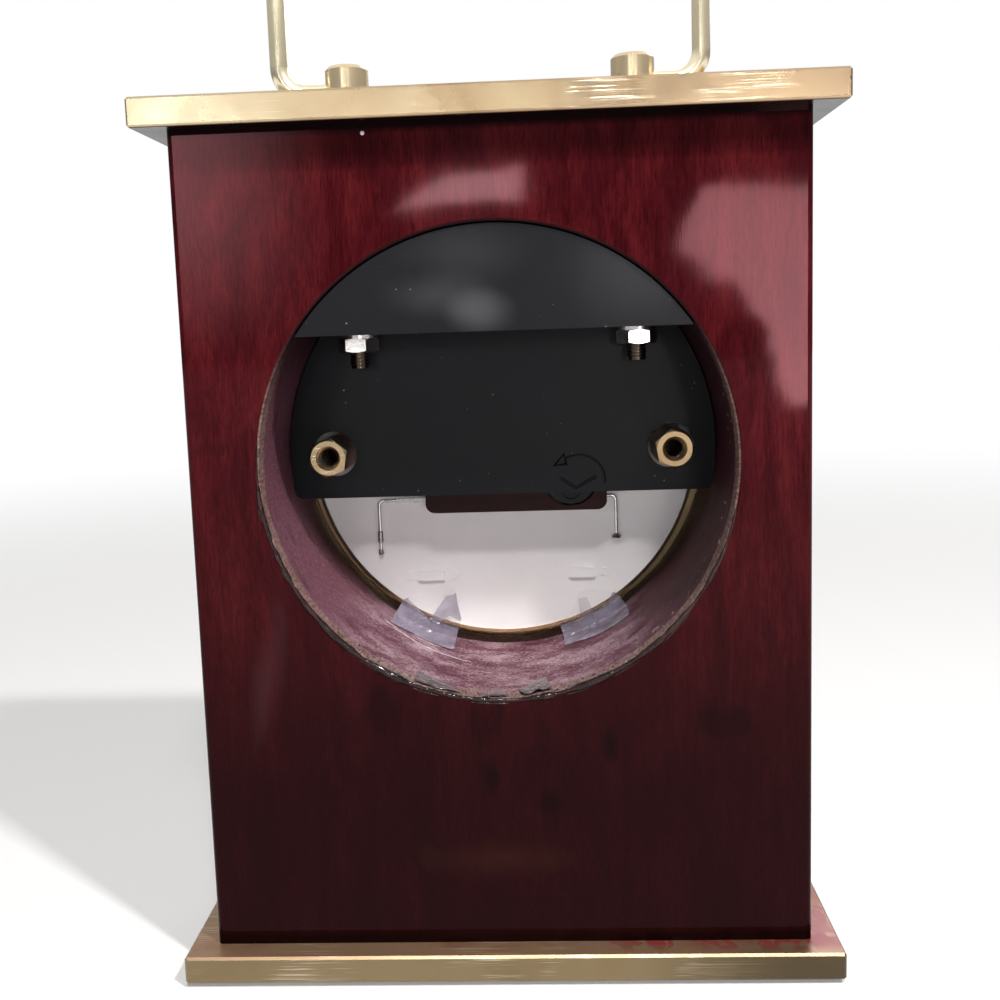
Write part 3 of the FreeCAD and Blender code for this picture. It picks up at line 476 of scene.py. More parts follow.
def bead(name, material, **sizes):
    """A bead of lacquer round the bore's edge: a wandering line of uneven thickness."""
    tree = tree_of(name, **sizes)
    sockets = {"Resolution": 520, "Radius": "edge_radius", "Start Angle": "start", "Sweep Angle": "sweep"}
    bow = lay(tree, "GeometryNodeCurveArc", sockets, mode="RADIUS")
    stood = stood_up(tree, bow, on_rim)
    spot = lay(tree, "GeometryNodeInputPosition")
    wander = lay(tree, "ShaderNodeTexNoise", {"Vector": spot, "Scale": "grain", "Detail": 4.0}, 1)
    centred = lay(tree, "ShaderNodeVectorMath", {0: wander, 1: (0.5, 0.5, 0.5)}, operation="SUBTRACT")
    shift = lay(tree, "ShaderNodeVectorMath", {0: centred, "Scale": "ragged"}, operation="SCALE")
    moved = lay(tree, "GeometryNodeSetPosition", {"Geometry": stood, "Offset": shift})
    coarse = lay(tree, "ShaderNodeTexNoise", {"Vector": spot, "Scale": "chipping", "Detail": 3.0})
    sockets = {"Value": coarse, "From Min": 0.42, "From Max": 0.56, "To Min": 0.50, "To Max": 1.0}
    left = lay(tree, "ShaderNodeMapRange", sockets)
    along = lay(tree, "GeometryNodeSplineParameter")
    ends = tally(tree, "SINE", tally(tree, "MULTIPLY", along, math.pi))
    full = tally(tree, "MULTIPLY", left, tally(tree, "POWER", ends, 0.3))
    round_bar = lay(tree, "GeometryNodeCurvePrimitiveCircle", {"Resolution": 8, "Radius": "thick"})
    sockets = {"Curve": moved, "Profile Curve": round_bar, "Scale": full, "Fill Caps": True}
    return grown(name, tree, lay(tree, "GeometryNodeCurveToMesh", sockets), material, sizes)


lip_sizes = {"start": math.radians(-168), "sweep": math.radians(176), "ragged": 0.00050}
for name, edge, thick, grain, chipping in (("lacquer_lip", 0.05040, 0.00080, 190.0, 150.0),
                                           ("lacquer_ridge", 0.05112, 0.00024, 170.0, 120.0)):
    lip = bead(name, lacquer, edge_radius=edge, thick=thick, grain=grain, chipping=chipping, **lip_sizes)
    for face in lip.data.polygons:
        face.use_smooth = True
    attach(lip, "case")

sizes = {"bed_radius": bore_radius - 0.0001, "start": math.radians(-128), "sweep": math.radians(84),
         "pieces": 150, "smallest": 0.00010, "largest": 0.00055, "strewn": 0.0042}
crumb_bed = (0, block_back - 0.0004, bore_height)
tree = tree_of("lacquer_crumbs", **sizes)
sockets = {"Resolution": 100, "Radius": "bed_radius", "Start Angle": "start", "Sweep Angle": "sweep"}
bow = lay(tree, "GeometryNodeCurveArc", sockets, mode="RADIUS")
points = lay(tree, "GeometryNodeCurveToPoints", {"Curve": bow, "Count": "pieces"})
tossed = lay(tree, "FunctionNodeRandomValue", {2: 0.0, 3: 1.0, "Seed": 4}, 1)
inward = tally(tree, "MULTIPLY", tally(tree, "POWER", tossed, 2.0), "strewn")
lean = lay(tree, "ShaderNodeCombineXYZ", {2: inward})
strewn = lay(tree, "GeometryNodeSetPosition", {"Geometry": points, "Offset": lean})
stood = stood_up(tree, strewn, crumb_bed)
crumb = lay(tree, "GeometryNodeMeshIcoSphere", {"Radius": 1.0, "Subdivisions": 1})
sockets = {0: (0.3, 0.3, 0.12), 1: (1.0, 1.0, 0.5), "Seed": 8}
size = lay(tree, "FunctionNodeRandomValue", sockets, data_type="FLOAT_VECTOR")
span = lay(tree, "FunctionNodeRandomValue", {2: "smallest", 3: "largest", "Seed": 2}, 1)
size = lay(tree, "ShaderNodeVectorMath", {0: size, "Scale": span}, operation="SCALE")
sockets = {0: (0, 0, 0), 1: (6.3, 6.3, 6.3), "Seed": 5}
turn = lay(tree, "FunctionNodeRandomValue", sockets, data_type="FLOAT_VECTOR")
sockets = {"Points": stood, "Instance": crumb, "Rotation": turn, "Scale": size}
laid = lay(tree, "GeometryNodeInstanceOnPoints", sockets)
crumbs = grown("lacquer_crumbs", tree, laid, splinters, sizes)
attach(crumbs, "case")


def on_bore(angle, y, radius=bore_radius):
    """A point of the bore's wall: the angle is counted from its lowest line towards +X."""
    angle = math.radians(angle)
    return (radius * math.sin(angle), y, bore_height - radius * math.cos(angle))


def raised_line(name, points, thick, closed=False):
    path = bpy.data.curves.new(name, "CURVE")
    path.dimensions = "3D"
    path.bevel_depth = thick
    path.bevel_resolution = 2
    path.use_fill_caps = True
    run = path.splines.new("POLY")
    run.points.add(len(points) - 1)
    run.use_cyclic_u = closed
    for point, where in zip(run.points, points):
        point.co = (*where, 1)
    return as_mesh(placed(name, path))


def one_piece(name, meshes, material):
    """Several meshes joined in one object."""
    spots, faces = [], []
    for mesh in meshes:
        start = len(spots)
        spots += [tuple(v.co) for v in mesh.vertices]
        faces += [tuple(start + i for i in p.vertices) for p in mesh.polygons]
    joined = bpy.data.meshes.new(name)
    joined.from_pydata(spots, [], faces)
    joined.materials.append(material)
    return placed(name, joined)


def shard(corners, lift, seed):
    """A flat splinter on the bore's wall between four (angle, y) corners."""
    count = 9
    bedding = 0.00012
    edge_wander = 0.0004
    spots, faces = [], []
    for i in range(count + 1):
        for j in range(count + 1):
            u, v = i / count, j / count
            weights = ((1 - u) * (1 - v), u * (1 - v), u * v, (1 - u) * v)
            angle = sum(w * c[0] for w, c in zip(weights, corners))
            y = sum(w * c[1] for w, c in zip(weights, corners))
            rough = noise.noise(Vector((u * 3, v * 3, seed)))
            edge = noise.noise(Vector((u * 7, v * 7, seed + 5))) * edge_wander
            height = bedding + lift * (0.5 + rough) * (0.4 + v)
            spots.append(on_bore(angle, y + edge, bore_radius - height))
            if i and j:
                here = i * (count + 1) + j
                faces.append((here, here - count - 1, here - count - 2, here - 1))
    made = bpy.data.meshes.new("shard")
    made.from_pydata(spots, [], faces)
    return made


shards = one_piece("lacquer_shards", [
    shard(((22.6, 0.0178), (12.2, 0.0226), (10.8, 0.0252), (22.4, 0.0252)), 0.0005, 1.0),
    shard(((-3.6, 0.0218), (-10.3, 0.0146), (-12.0, 0.0238), (-5.0, 0.0252)), 0.0006, 3.0),
    shard(((4.8, 0.0226), (0.4, 0.0214), (-1.0, 0.0252), (5.2, 0.0254)), 0.0003, 7.0)], splinters)
thicker = shards.modifiers.new("thickness", "SOLIDIFY")
thicker.thickness = 0.0002
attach(shards, "case")

glue, place = new_material("dried_glue", 0.25)
tone = tints(glue, cloud(glue, place, 900, 2), (0.3, 0.36, 0.30, 0.30), (0.7, 0.72, 0.66, 0.66))
feed(glue, Base_Color=tone)
# Each path is drawn by three points: an angle on the bore and a depth in millimetres.
glue_paths = (((33.1, -4.9), (20.8, -1.3), (9.8, 0.6)),
              ((36.0, -6.5), (29.0, -5.4), (24.5, -1.0)),
              ((27.0, -7.5), (22.0, -5.2), (19.0, -5.8)))
glue_steps = 28
glue_thick, glue_sunk = 0.00007, 0.00004
runs = []
for number, corners in enumerate(glue_paths):
    run = []
    for step in range(glue_steps + 1):
        t = step / glue_steps
        weights = ((1 - t) ** 2, 2 * t * (1 - t), t * t)
        angle, y = [sum(w * corner[k] for w, corner in zip(weights, corners)) for k in (0, 1)]
        sway = noise.noise(Vector((t * 6, number, 0)))
        run.append(on_bore(angle, (y + 0.5 * sway) / 1000, bore_radius - glue_sunk))
    runs.append(raised_line("run", run, glue_thick))
strings = one_piece("glue_strings", runs, glue)
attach(strings, "case")

# Base plate and top plate
# Two plates of rolled brass, their edges lightly broken, worn and scratched by handling.
# The base plate has smears of the red lacquer on its top face behind the block.
def scratches(material, place, turn, spread, seed):
    """Thin straight marks that run at one angle across the brass."""
    lines = put(material, "Mapping", {"Vector": place, "Rotation": radians(*turn),
                                      "Location": (seed, seed * 2, seed * 3), "Scale": spread})
    run = share(material, cloud(material, lines.outputs[0], 1.0, 1.0, 0.3), 0.63, 0.70)
    return times(material, run, share(material, cloud(material, place, 45 + seed, 2), 0.50, 0.62))


def brass(name, colour, roughness, wear=1.0, marked=None):
    """Rolled or turned brass; marked adds one piece's own marks to the colour, stains on some pieces,
    painted reflection and shade on others.
    """
    material, place = new_material(name, roughness, Metallic=1.0)
    rolled = cloud(material, stretched(material, place, (0.02, 1, 1)), 2600, 3, 0.6)
    dull = cloud(material, place, 38, 4, 0.6, 0.6)
    specks = cloud(material, place, 700, 2, 0.5)
    marks = scratches(material, place, (0, 24, 0), (70, 1500, 4200), 1.3)
    for turn, seed in ((-33, 2.1), (8, 3.7)):
        more = scratches(material, place, (0, turn, turn), (60, 3000, 4600), seed)
        marks = larger(material, marks, more)
    deep = [part * shade for part, shade in zip(colour, (0.66, 0.58, 0.50))] + [1]
    deepest = [part * shade for part, shade in zip(colour, (0.46, 0.38, 0.30))] + [1]
    tone = over(material, share(material, dull, 0.40, 0.72), (*colour, 1), deep, 0.6 * wear)
    tone = over(material, share(material, specks, 0.72, 0.76), tone, (0.20, 0.11, 0.05, 1), 0.7 * wear)
    tone = over(material, marks, tone, (1.0, 0.88, 0.70, 1), 0.55 * wear)
    stained = share(material, cloud(material, place, 17, 3, 0.6, 1.2), 0.52, 0.66)
    tone = over(material, stained, tone, deepest, 0.5 * wear)
    if marked:
        tone = marked(material, place, apart(material, place), tone)
    gloss = between(material, dull, roughness * 0.8, roughness * 1.35, 0.3, 0.7)
    feed(material, Base_Color=tone, Roughness=gloss)
    dents = plus(material, times(material, marks, 0.15 * wear), times(material, rolled, 0.06))
    relief(material, dents, 0.00005)
    return material


def bright_left(material, place, split, tone):
    """The top plate is painted paler at its left end as a reflection, and painted dark underneath as shade.
    """
    tone = over(material, share(material, split["X"], 0.012, 0.062), tone, (0.62, 0.51, 0.34, 1))
    underside_shade = share(material, split["Z"], block_high.z + 0.0003, block_high.z)
    return over(material, underside_shade, tone, (0.012, 0.006, 0.005, 1))


def smeared(material, place, split, tone):
    """A red film on the base plate's top face, with thick smears at the back."""
    tone = over(material, share(material, split["X"], -0.020, -0.062), tone, (0.10, 0.075, 0.045, 1))
    top_face = share(material, split["Z"], block_low.z - 0.0006, block_low.z - 0.0003)
    behind = share(material, split["Y"], 0.0318, block_back + 0.0006)
    behind = times(material, behind, top_face, share(material, split["Y"], -0.010, 0.010))
    blot = share(material, cloud(material, place, 190, 4, 0.65, 0.8), 0.46, 0.55)
    thick = times(material, share(material, split["X"], -0.006, -0.034), blot)
    rubbed = share(material, cloud(material, place, 38, 4, 0.6, 0.6), 0.50, 0.68)
    red = times(material, behind, larger(material, thick, times(material, rubbed, 0.55)))
    film = times(material, top_face, 0.45)
    tone = over(material, film, tone, (0.30, 0.155, 0.095, 1))
    feed(material, Metallic=blend(material, larger(material, red, film), 1.0, 0.25))
    return over(material, red, tone, (0.15, 0.014, 0.018, 1))


finish(brass("worn_plate_brass", (0.58, 0.41, 0.25), 0.24, marked=bright_left), "top_plate")
finish(brass("smeared_plate_brass", (0.26, 0.195, 0.112), 0.36, 0.6, smeared), "base_plate")

# Base screws
# Four countersunk steel wood screws, driven up through the base plate into the block.
def plain_metal(name, colour, roughness, grain=(1, 1, 1)):
    """A drawn or plated metal with a faint grain and small stains."""
    material, place = new_material(name, roughness, Metallic=1.0)
    lines = cloud(material, stretched(material, place, grain), 2200, 3, 0.6)
    stains = share(material, cloud(material, place, 320, 3, 0.55), 0.52, 0.75)
    worn = [part * 0.55 for part in colour] + [1]
    feed(material, Base_Color=over(material, stains, (*colour, 1), worn, 0.6),
         Roughness=between(material, lines, roughness * 0.7, roughness * 1.5))
    relief(material, lines, 0.00002)
    return material


finish(plain_metal("bright_steel", (0.62, 0.61, 0.60), 0.24, (1, 0.05, 1)), "base_screws")

# Foot pads
# Four discs of dark green wool felt, glued under the corners of the base plate.
felt, place = new_material("green_felt", 0.95, Sheen_Weight=0.4)
hairs = cloud(felt, place, 3000, 4, 0.8, 1.0)
feed(felt, Base_Color=tints(felt, hairs, (0.3, 0.010, 0.030, 0.016), (0.7, 0.050, 0.110, 0.062)))
relief(felt, hairs, 0.0003)
finish(felt, "foot_pads")

# Handle and its posts
# The posts are turned from brass bar in one piece with the threaded studs that hold the
# case together. The handle is bent from brass rod and swings in the posts' blind holes.
def dull_stud(material, place, split, tone):
    """The stud below the block's top is painted brown as shade, and only the head is polished."""
    stud_top = block_high.z - 0.007
    brown = share(material, split["Z"], stud_top + 0.001, stud_top)
    return over(material, brown, tone, (0.085, 0.062, 0.045, 1))


finish(brass("polished_brass", (0.98, 0.87, 0.62), 0.24, 0.2), "handle")
post_brass = brass("post_brass", (0.86, 0.70, 0.46), 0.22, 0.3, dull_stud)
finish(post_brass, "handle_post_left", "handle_post_right")


def threads(name, material, **sizes):
    """Screw threads on two cylinders: a ridge wound at the given radius and pitch."""
    tree = tree_of(name, **sizes)
    turns = tally(tree, "DIVIDE", "length", "pitch")
    sockets = {"Resolution": 40, "Rotations": turns, "Start Radius": "radius", "End Radius": "radius",
               "Height": "length"}
    wound = lay(tree, "GeometryNodeCurveSpiral", sockets)
    crest = lay(tree, "GeometryNodeCurvePrimitiveCircle", {"Resolution": 4, "Radius": "crest"})
    sockets = {"Curve": wound, "Profile Curve": crest, "Fill Caps": True}
    ridge = lay(tree, "GeometryNodeCurveToMesh", sockets)
    turned = lay(tree, "GeometryNodeTransform", {"Geometry": ridge, "Rotation": "turn"})
    sockets = {"Count": 2, "Start Location": "first", "Offset": "apart"}
    pair = lay(tree, "GeometryNodeMeshLine", sockets)
    both = lay(tree, "GeometryNodeInstanceOnPoints", {"Points": pair, "Instance": turned})
    return grown(name, tree, both, material, sizes)


stud_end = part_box("handle_post_left")[0].z
stud_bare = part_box("post_nuts")[0].z - stud_end
post_low, post_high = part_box("handle_post_right")
post_x = (post_low.x + post_high.x) / 2
stud_brass = plain_metal("stud_brass", (0.11, 0.085, 0.065), 0.30, (1, 1, 0.3))
stud_threads = threads("stud_threads", stud_brass, radius=0.00196, length=stud_bare - 0.0007,
                       pitch=0.0007, crest=0.00020, turn=(0.0, 0.0, 0.0),
                       first=(-post_x, 0.0, stud_end + 0.0003), apart=(2 * post_x, 0.0, 0.0))
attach(stud_threads, "case")

# Nuts and washers
# Nickel-plated steel, tightened on the studs up against the black moulding's shelf.
nickel = plain_metal("nickel_plate", (0.86, 0.83, 0.81), 0.20)
finish(nickel, "post_nuts", "post_washers")

# Black moulding
# One injection moulding in black plastic with a fine satin grain, clamped against the
# roof of the bore by the two nuts. Its hanging plate hides most of the works.
satin, place = new_material("black_satin_plastic", 0.42, Specular_IOR_Level=0.14)
spark = cloud(satin, place, 5200, 2, 0.5)
hazy = cloud(satin, place, 34, 4, 0.55, 0.6)
black = tints(satin, spark, (0.3, 0.0030, 0.0030, 0.0046), (0.75, 0.0066, 0.0066, 0.0092))
wall_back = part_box("bore_moulding")[1].y
rear_wall = share(satin, apart(satin, place)["Y"], wall_back - 0.0014, wall_back - 0.0004)
# Painted reflections: pale hazy patches of a mirrored window on the moulding's rear wall.
wall_reflections = ((0.0030, 0.1440, 0.0080, 0.0055, 0.040), (0.0110, 0.1475, 0.0130, 0.0060, 0.020),
          (-0.0300, 0.1520, 0.0200, 0.0140, 0.014), (0.0060, 0.1560, 0.0160, 0.0080, 0.012))
for x, z, wide, tall, depth in wall_reflections:
    ragged = plus(satin, off_oval(satin, place, x, z, wide, tall), times(satin, hazy, 0.9))
    wall_reflection = times(satin, share(satin, ragged, 1.5, 0.45), rear_wall)
    black = over(satin, wall_reflection, black, (0.90, 0.88, 0.95, 1), depth)
motes = put(satin, "TexVoronoi", {"Vector": place, "Scale": 380, "Randomness": 1.0}).outputs["Distance"]
motes = plus(satin, motes, times(satin, cloud(satin, place, 90, 2), 0.3))
black = over(satin, share(satin, motes, 0.185, 0.165), black, (0.30, 0.29, 0.28, 1), 0.5)
feed(satin, Base_Color=black, Roughness=between(satin, hazy, 0.28, 0.44, 0.3, 0.7))
relief(satin, spark, 0.00002)
finish(satin, "bore_moulding")

# Turning mark
# Moulded on the plate in line with the setting knob: an arc that ends in an arrow head,
# and a small V below it.
plate_back = -0.0049
mark_x, mark_z = -0.0179, 0.1042
mark_radius = 0.0061
arc_thick, head_thick, vee_thick = 0.00027, 0.00045, 0.00042


def on_plate(angle, radius=mark_radius):
    angle = math.radians(angle)
    return (mark_x - radius * math.cos(angle), plate_back, mark_z + radius * math.sin(angle))


bow = [on_plate(-6 + 4 * step) for step in range(33)]
head = [on_plate(118, 0.0072), on_plate(146, 0.0068), on_plate(126, 0.0049)]
vee = [(mark_x + 0.0043, plate_back, mark_z + 0.0008), (mark_x + 0.0007, plate_back, mark_z - 0.0016),
       (mark_x - 0.0040, plate_back, mark_z + 0.0010)]
strokes = [raised_line("bow", bow, arc_thick), raised_line("head", head, head_thick, True),
           raised_line("vee", vee, vee_thick)]
mark = one_piece("turning_mark", strokes, satin)
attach(mark, "case")

# Bezel
# A brass ring pressed over the front of the bore. The end of its sleeve shows as a thin
# bright edge round the dial's back.
def dull_end(material, place, split, tone):
    """The sleeve's rear end is painted dark as shade, except along its lowest part, where light reaches it.
    """
    sleeve = share(material, split["Y"], -0.0200, -0.0190)
    sleeve = times(material, sleeve, share(material, split["Z"], 0.068, 0.078))
    return over(material, sleeve, tone, (0.10, 0.060, 0.035, 1))


finish(brass("bezel_brass", (0.88, 0.66, 0.37), 0.18, 0.5, dull_end), "bezel")

# Glass, spacer and dial
# A flat glass, a white spacer ring, and a painted metal dial with printed numbers.
clear, place = new_material("clear_glass", 0.0, Transmission_Weight=1.0, IOR=1.5,
                            Base_Color=(0.95, 0.98, 0.97, 1))
feed(clear, Roughness=between(clear, cloud(clear, place, 70, 3, 0.6), 0.0, 0.05, 0.5, 0.8))
finish(clear, "glass")


def soft_plastic(name, colour, roughness, spread=0.06, scale=900):
    """A plain moulded plastic or paint with a slight cast and a fine grain."""
    material, place = new_material(name, roughness)
    cast = cloud(material, place, 42, 3, 0.5)
    fine = cloud(material, place, scale, 3, 0.6)
    low = [part * (1 - spread * 2) for part in colour]
    feed(material, Base_Color=tints(material, cast, (0.3, *low), (0.7, *colour)),
         Roughness=between(material, fine, roughness * 0.8, roughness * 1.3))
    relief(material, fine, 0.00002)
    return material


finish(soft_plastic("white_plastic", (0.80, 0.775, 0.785), 0.38), "spacer_ring", "dial_back")
finish(soft_plastic("dial_enamel", (0.80, 0.77, 0.68), 0.5, 0.03, 1500), "dial")
ink = soft_plastic("black_ink", (0.012, 0.011, 0.010), 0.5, 0.1, 2500)
dial_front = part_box("dial")[0].y
ink_half = 0.00002
number_radius = 0.0335
number_size = 0.0085
numbers = []
for hour in range(1, 13):
    words = bpy.data.curves.new("hour_%d" % hour, "FONT")
    words.body = str(hour)
    words.align_x = "CENTER"
    words.align_y = "CENTER"
    words.size = number_size
    words.extrude = ink_half
    mesh = as_mesh(placed("hour_%d" % hour, words))
    angle = math.radians(30 * hour)
    spot = Vector((number_radius * math.sin(angle), dial_front - 1.5 * ink_half,
                   bore_height + number_radius * math.cos(angle)))
    mesh.transform(Matrix.Translation(spot) @ Matrix.Rotation(math.pi / 2, 4, "X"))
    numbers.append(mesh)
numerals = one_piece("dial_numbers", numbers, ink)
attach(numerals, "case")

sizes = {"track_radius": 0.0405, "mark_long": 0.0022, "mark_wide": 0.00045, "mark_thick": 2 * ink_half,
         "marks": 60, "hour_share": 2.2}
tree = tree_of("minute_track", **sizes)
ring = lay(tree, "GeometryNodeMeshCircle", {"Vertices": "marks", "Radius": "track_radius"})
size = lay(tree, "ShaderNodeCombineXYZ", {0: "mark_wide", 1: "mark_long", 2: "mark_thick"})
bar = lay(tree, "GeometryNodeMeshCube", {"Size": size})
index = lay(tree, "GeometryNodeInputIndex")
on_hour = tally(tree, "LESS_THAN", tally(tree, "MODULO", index, 5.0), 0.5)
wider = lay(tree, "ShaderNodeMapRange", {"Value": on_hour, "To Min": 1.0, "To Max": "hour_share"})
scale = lay(tree, "ShaderNodeCombineXYZ", {0: wider, 1: 1.0, 2: 1.0})
where = lay(tree, "GeometryNodeInputPosition")
facing = lay(tree, "FunctionNodeAlignRotationToVector", {"Vector": where}, axis="Y")
sockets = {"Points": ring, "Instance": bar, "Rotation": facing, "Scale": scale}
marks = lay(tree, "GeometryNodeInstanceOnPoints", sockets)
stood = stood_up(tree, marks, (0, dial_front - ink_half, bore_height))
track = grown("minute_track", tree, stood, ink, sizes)
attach(track, "case")

# Cover posts
# Two hexagonal brass posts, riveted in the dial's back and tapped for the cover's screws.
cover_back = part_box("cover_posts")[1].y
cover_x = 0.0394
tapped_radius = 0.0021


def drilled(material, place, split, tone):
    """The tapped holes are painted dark inside as shade."""
    side = minus(material, figure(material, "ABSOLUTE", split["X"]), cover_x)
    off_axis = put(material, "CombineXYZ", {0: side, 2: minus(material, split["Z"], bore_height)}).outputs[0]
    hole = share(material, length(material, off_axis), tapped_radius + 0.00025, tapped_radius)
    return over(material, hole, tone, (0.016, 0.009, 0.005, 1))


finish(brass("hexagon_brass", (0.43, 0.32, 0.19), 0.24, 0.8, drilled), "cover_posts")
cover_threads = threads("cover_threads", stud_brass, radius=0.00208, length=0.0100, pitch=0.0008,
                        crest=0.00022, turn=(math.pi / 2, 0.0, 0.0),
                        first=(-cover_x, cover_back - 0.0010, bore_height), apart=(2 * cover_x, 0.0, 0.0))
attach(cover_threads, "case")

# Tape
# Two strips of clear sticky tape hold the dial in the bore. They are stuck on the dial's
# back, run over the edge of the bezel's sleeve, and lie wrinkled on the wood.
tape, place = new_material("clear_tape", 0.16)
creases = cloud(tape, place, 150, 2, 0.4, 1.2)
hazed = between(tape, cloud(tape, place, 150, 3, 0.6), 0.30, 0.62, 0.3, 0.7)
facets = put(tape, "TexVoronoi", {"Vector": place, "Scale": 170, "Randomness": 1.0}).outputs["Color"]
facets = between(tape, share(tape, apart(tape, facets)[0], 0.55, 0.95), 0.03, 0.38)
from_axis = put(tape, "Mapping", {"Vector": place, "Location": (0, 0, -bore_height), "Scale": (1, 0, 1)})
on_wood = share(tape, length(tape, from_axis.outputs[0]), 0.0462, 0.0478)
feed(tape, Base_Color=tints(tape, creases, (0.3, 0.24, 0.21, 0.28), (0.7, 0.38, 0.34, 0.43)),
     Alpha=blend(tape, on_wood, facets, hazed))
relief(tape, creases, 0.00020)
disc_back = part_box("dial_back")[1].y
tape_thick = 0.00010
on_disc, on_sleeve = disc_back + 0.00085, disc_back + 0.0019
sleeve_middle = 0.0469
on_wood_radius = bore_radius - 0.00025
fold = 0.0010
crumple = 0.00016
flap_lift = 0.0010


def tape_strip(left, right, tips, wall, seed):
    """From the angle left to right on the bore; tips are the radii that the flap reaches to."""
    across, along = 26, 30
    spots, faces = [], []
    for i in range(across + 1):
        t = i / across
        angle = math.radians(left + (right - left) * t)
        step = t * (len(tips) - 1)
        low = min(int(step), len(tips) - 2)
        tip = tips[low] + (tips[low + 1] - tips[low]) * (step - low)
        flap = sleeve_middle - tip
        ledge = on_wood_radius - sleeve_middle - 0.0003
        down_wood = wall * (1 + 0.12 * math.sin(5 * t + seed))
        total = flap + fold + ledge + down_wood
        for j in range(along + 1):
            s = total * j / along
            if s < flap:
                radius, y = tip + s, on_disc
            elif s < flap + fold:
                radius, y = sleeve_middle, on_disc + s - flap
            elif s < total - down_wood:
                radius, y = sleeve_middle + s - flap - fold, on_sleeve
            else:
                radius, y = on_wood_radius, on_sleeve + s - (total - down_wood)
            crease = noise.noise(Vector((angle * 28, s * 420, seed)))
            lift = crumple * (crease + 0.5)
            if s < flap:
                y += lift + flap_lift * (1 - s / flap) ** 2
            else:
                radius -= lift
            spots.append(on_bore(math.degrees(angle), y, radius))
            if i and j:
                here = i * (along + 1) + j
                faces.append((here, here - 1, here - along - 2, here - along - 1))
    strip = bpy.data.meshes.new("tape")
    strip.from_pydata(spots, [], faces)
    return strip


strips = [tape_strip(15.2, 34.3, (0.0440, 0.0372, 0.0365, 0.0405, 0.0452), 0.0075, 1.0),
          tape_strip(-36.0, -16.0, (0.0455, 0.0420, 0.0405, 0.0440, 0.0455), 0.0080, 6.0)]
tapes = one_piece("clear_tapes", strips, tape)
thicker = tapes.modifiers.new("thickness", "SOLIDIFY")
thicker.thickness = tape_thick
thicker.offset = 0
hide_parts("tape_tabs")
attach(tapes, "case")

# Movement clips
# Two spring wires that clip the movement, bent down along the dial's back.
spring = plain_metal("spring_steel", (0.66, 0.64, 0.64), 0.18, (1, 1, 0.2))
finish(spring, "movement_clip_left", "movement_clip_right")


def turned(profile, x, y):
    """A small piece turned about the upright line through x, y, from (radius, z) points."""
    around = 20
    spots = [(x + r * math.cos(2 * math.pi * k / around), y + r * math.sin(2 * math.pi * k / around), z)
             for r, z in profile for k in range(around)]
    faces = [(i * around + k, i * around + (k + 1) % around, (i + 1) * around + (k + 1) % around,
              (i + 1) * around + k) for i in range(len(profile) - 1) for k in range(around)]
    faces += [tuple(range(around))[::-1], tuple((len(profile) - 1) * around + k for k in range(around))]
    made = bpy.data.meshes.new("turned")
    made.from_pydata(spots, [], faces)
    return made


wire_radius = 0.0004
left_low, left_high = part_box("movement_clip_left")
right_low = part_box("movement_clip_right")[0]
wire_y = (left_low.y + left_high.y) / 2
left_x = left_high.x - wire_radius
right_x = right_low.x + wire_radius
ferrule = [(0.00046, 0.0), (0.00066, 0.0002), (0.00066, 0.0026), (0.00046, 0.0028)]
bulb = [(0.0002, -0.0004), (0.0006, -0.0002), (0.0007, 0.0004), (0.0005, 0.0010), (0.00042, 0.0012)]
foot = [(0.0003, -0.0005), (0.0011, -0.0004), (0.0012, 0.0), (0.0008, 0.0004), (0.00042, 0.0007)]
tongue_start, tongue_end = 0.0188, 0.0266
tongue = bpy.data.meshes.new("tongue")
ends = [(x, wire_y + wire_radius + y, left_high.z - wire_radius + z)
        for x in (tongue_start, tongue_end) for y in (0.0, 0.0002) for z in (-0.0005, 0.0005)]
sides = [(0, 1, 3, 2), (4, 6, 7, 5), (0, 4, 5, 1), (2, 3, 7, 6), (0, 2, 6, 4), (1, 5, 7, 3)]
tongue.from_pydata(ends, [], sides)
sleeves = one_piece("clip_sleeves", [
    turned([(r, left_low.z + 0.0028 + z) for r, z in ferrule], left_x, wire_y),
    turned([(r, left_low.z + z) for r, z in bulb], left_x, wire_y),
    turned([(r, right_low.z + z) for r, z in foot], right_x, wire_y),
    tongue],
    plain_metal("dark_steel", (0.30, 0.29, 0.29), 0.25))
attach(sleeves, "case")

# Movement
# A quartz movement: a glossy black shell and lid, held to the dial by a brass nut over
# a rubber washer.
# Painted reflection: the black has a reddish cast and a red-tinted specular for the red bore that it
# mirrors.
gloss, place = new_material("gloss_black_plastic", 0.1, Specular_IOR_Level=0.16,
                            Specular_Tint=(1.0, 0.6, 0.6, 1))
smoke = cloud(gloss, place, 90, 3, 0.55)
feed(gloss, Base_Color=tints(gloss, smoke, (0.3, 0.0045, 0.0018, 0.0018), (0.7, 0.0120, 0.0050, 0.0050)),
     Roughness=between(gloss, smoke, 0.07, 0.20))
relief(gloss, cloud(gloss, place, 1400, 2), 0.00002)
finish(gloss, "movement_case", "movement_lid")
finish(satin, "set_knob")
finish(brass("nut_brass", (0.84, 0.62, 0.33), 0.25, 0.3), "fixing_nut")
finish(soft_plastic("black_rubber", (0.020, 0.020, 0.021), 0.8, 0.1, 1200), "fixing_washer")

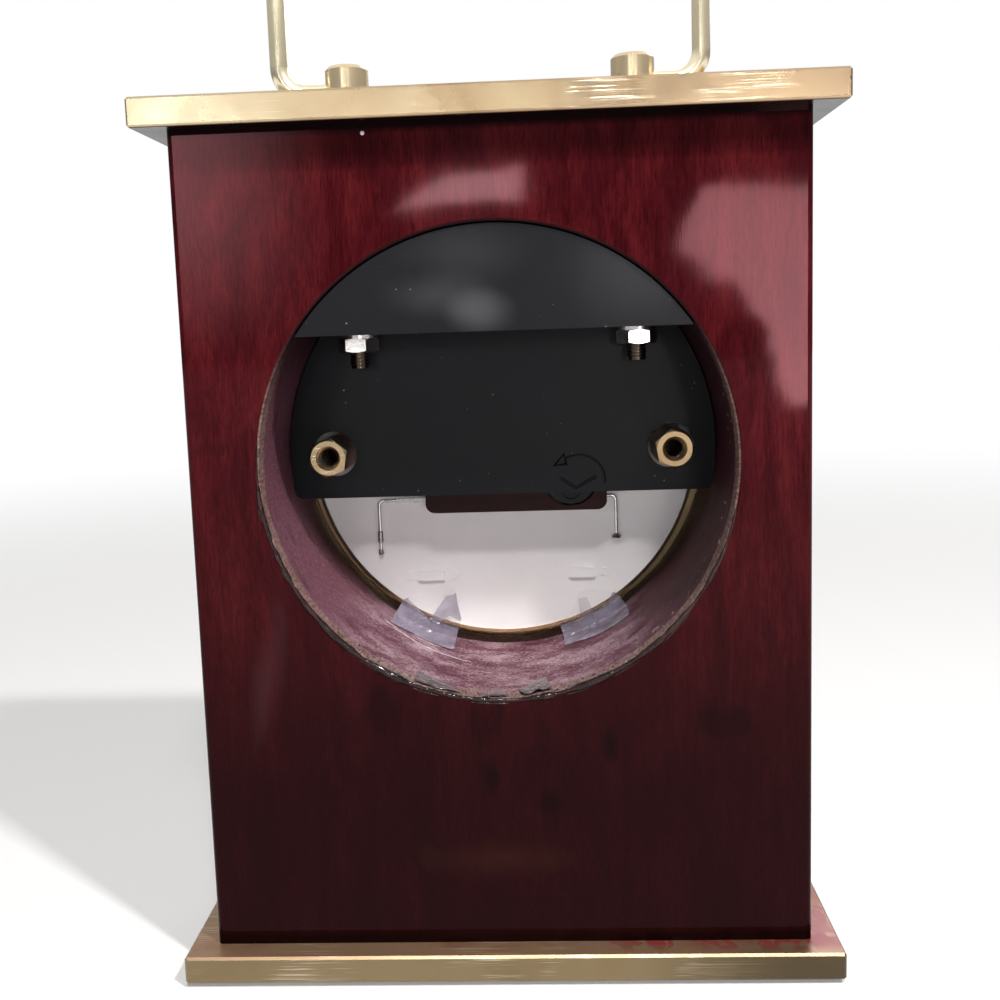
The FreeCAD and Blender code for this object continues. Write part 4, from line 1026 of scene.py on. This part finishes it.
# Cell and contacts
# A plated steel button cell between two sprung strips.
finish(plain_metal("cell_plate", (0.78, 0.77, 0.76), 0.28, (1, 0.05, 1)), "cell")
finish(plain_metal("contact_strip", (0.82, 0.76, 0.60), 0.22, (0.1, 1, 1)), "contact_negative",
       "contact_positive")

# Circuit board and crystal
# A green board with copper tracks under its varnish, and a small quartz crystal in a
# drawn metal can.
board, place = new_material("circuit_board", 0.3)
cells = put(board, "TexVoronoi", {"Vector": place, "Scale": 420}, feature="F1", distance="CHEBYCHEV")
lines = figure(board, "ABSOLUTE", minus(board, cells.outputs["Distance"], 0.42))
lines = share(board, lines, 0.06, 0.04)
feed(board, Base_Color=over(board, lines, (0.010, 0.080, 0.035, 1), (0.055, 0.200, 0.070, 1)))
relief(board, lines, 0.00004)
finish(board, "circuit_board")
finish(plain_metal("crystal_can", (0.74, 0.73, 0.70), 0.2, (0.2, 1, 1)), "crystal")

# Coil and stator
# Enamelled copper wire wound on a bobbin, over a stamped steel stator.
coil, place = new_material("enamelled_winding", 0.28, Metallic=0.85)
waves = {"Vector": place, "Scale": 2500, "Distortion": 0.4, "Detail": 1.0}
turns = put(coil, "TexWave", waves, bands_direction="X").outputs[1]
feed(coil, Base_Color=tints(coil, turns, (0.2, 0.16, 0.045, 0.018), (0.9, 0.62, 0.24, 0.10)))
relief(coil, turns, 0.00006)
finish(coil, "drive_coil")
finish(plain_metal("stator_steel", (0.52, 0.52, 0.53), 0.34, (1, 1, 0.05)), "stator")

# Motion work
# A brass cannon pinion on the minute arbor, with the minute wheel and the hour wheel
# moulded in natural acetal.
finish(brass("pinion_brass", (0.85, 0.64, 0.34), 0.2, 0.2), "cannon_pinion", "hand_cap")
finish(soft_plastic("natural_acetal", (0.76, 0.74, 0.66), 0.35, 0.04, 700), "hour_wheel", "minute_wheel")

# Hands
# Two leaf-shaped hands stamped from thin metal and sprayed satin black.
finish(soft_plastic("hand_paint", (0.012, 0.012, 0.013), 0.34, 0.1, 1800), "hour_hand", "minute_hand")
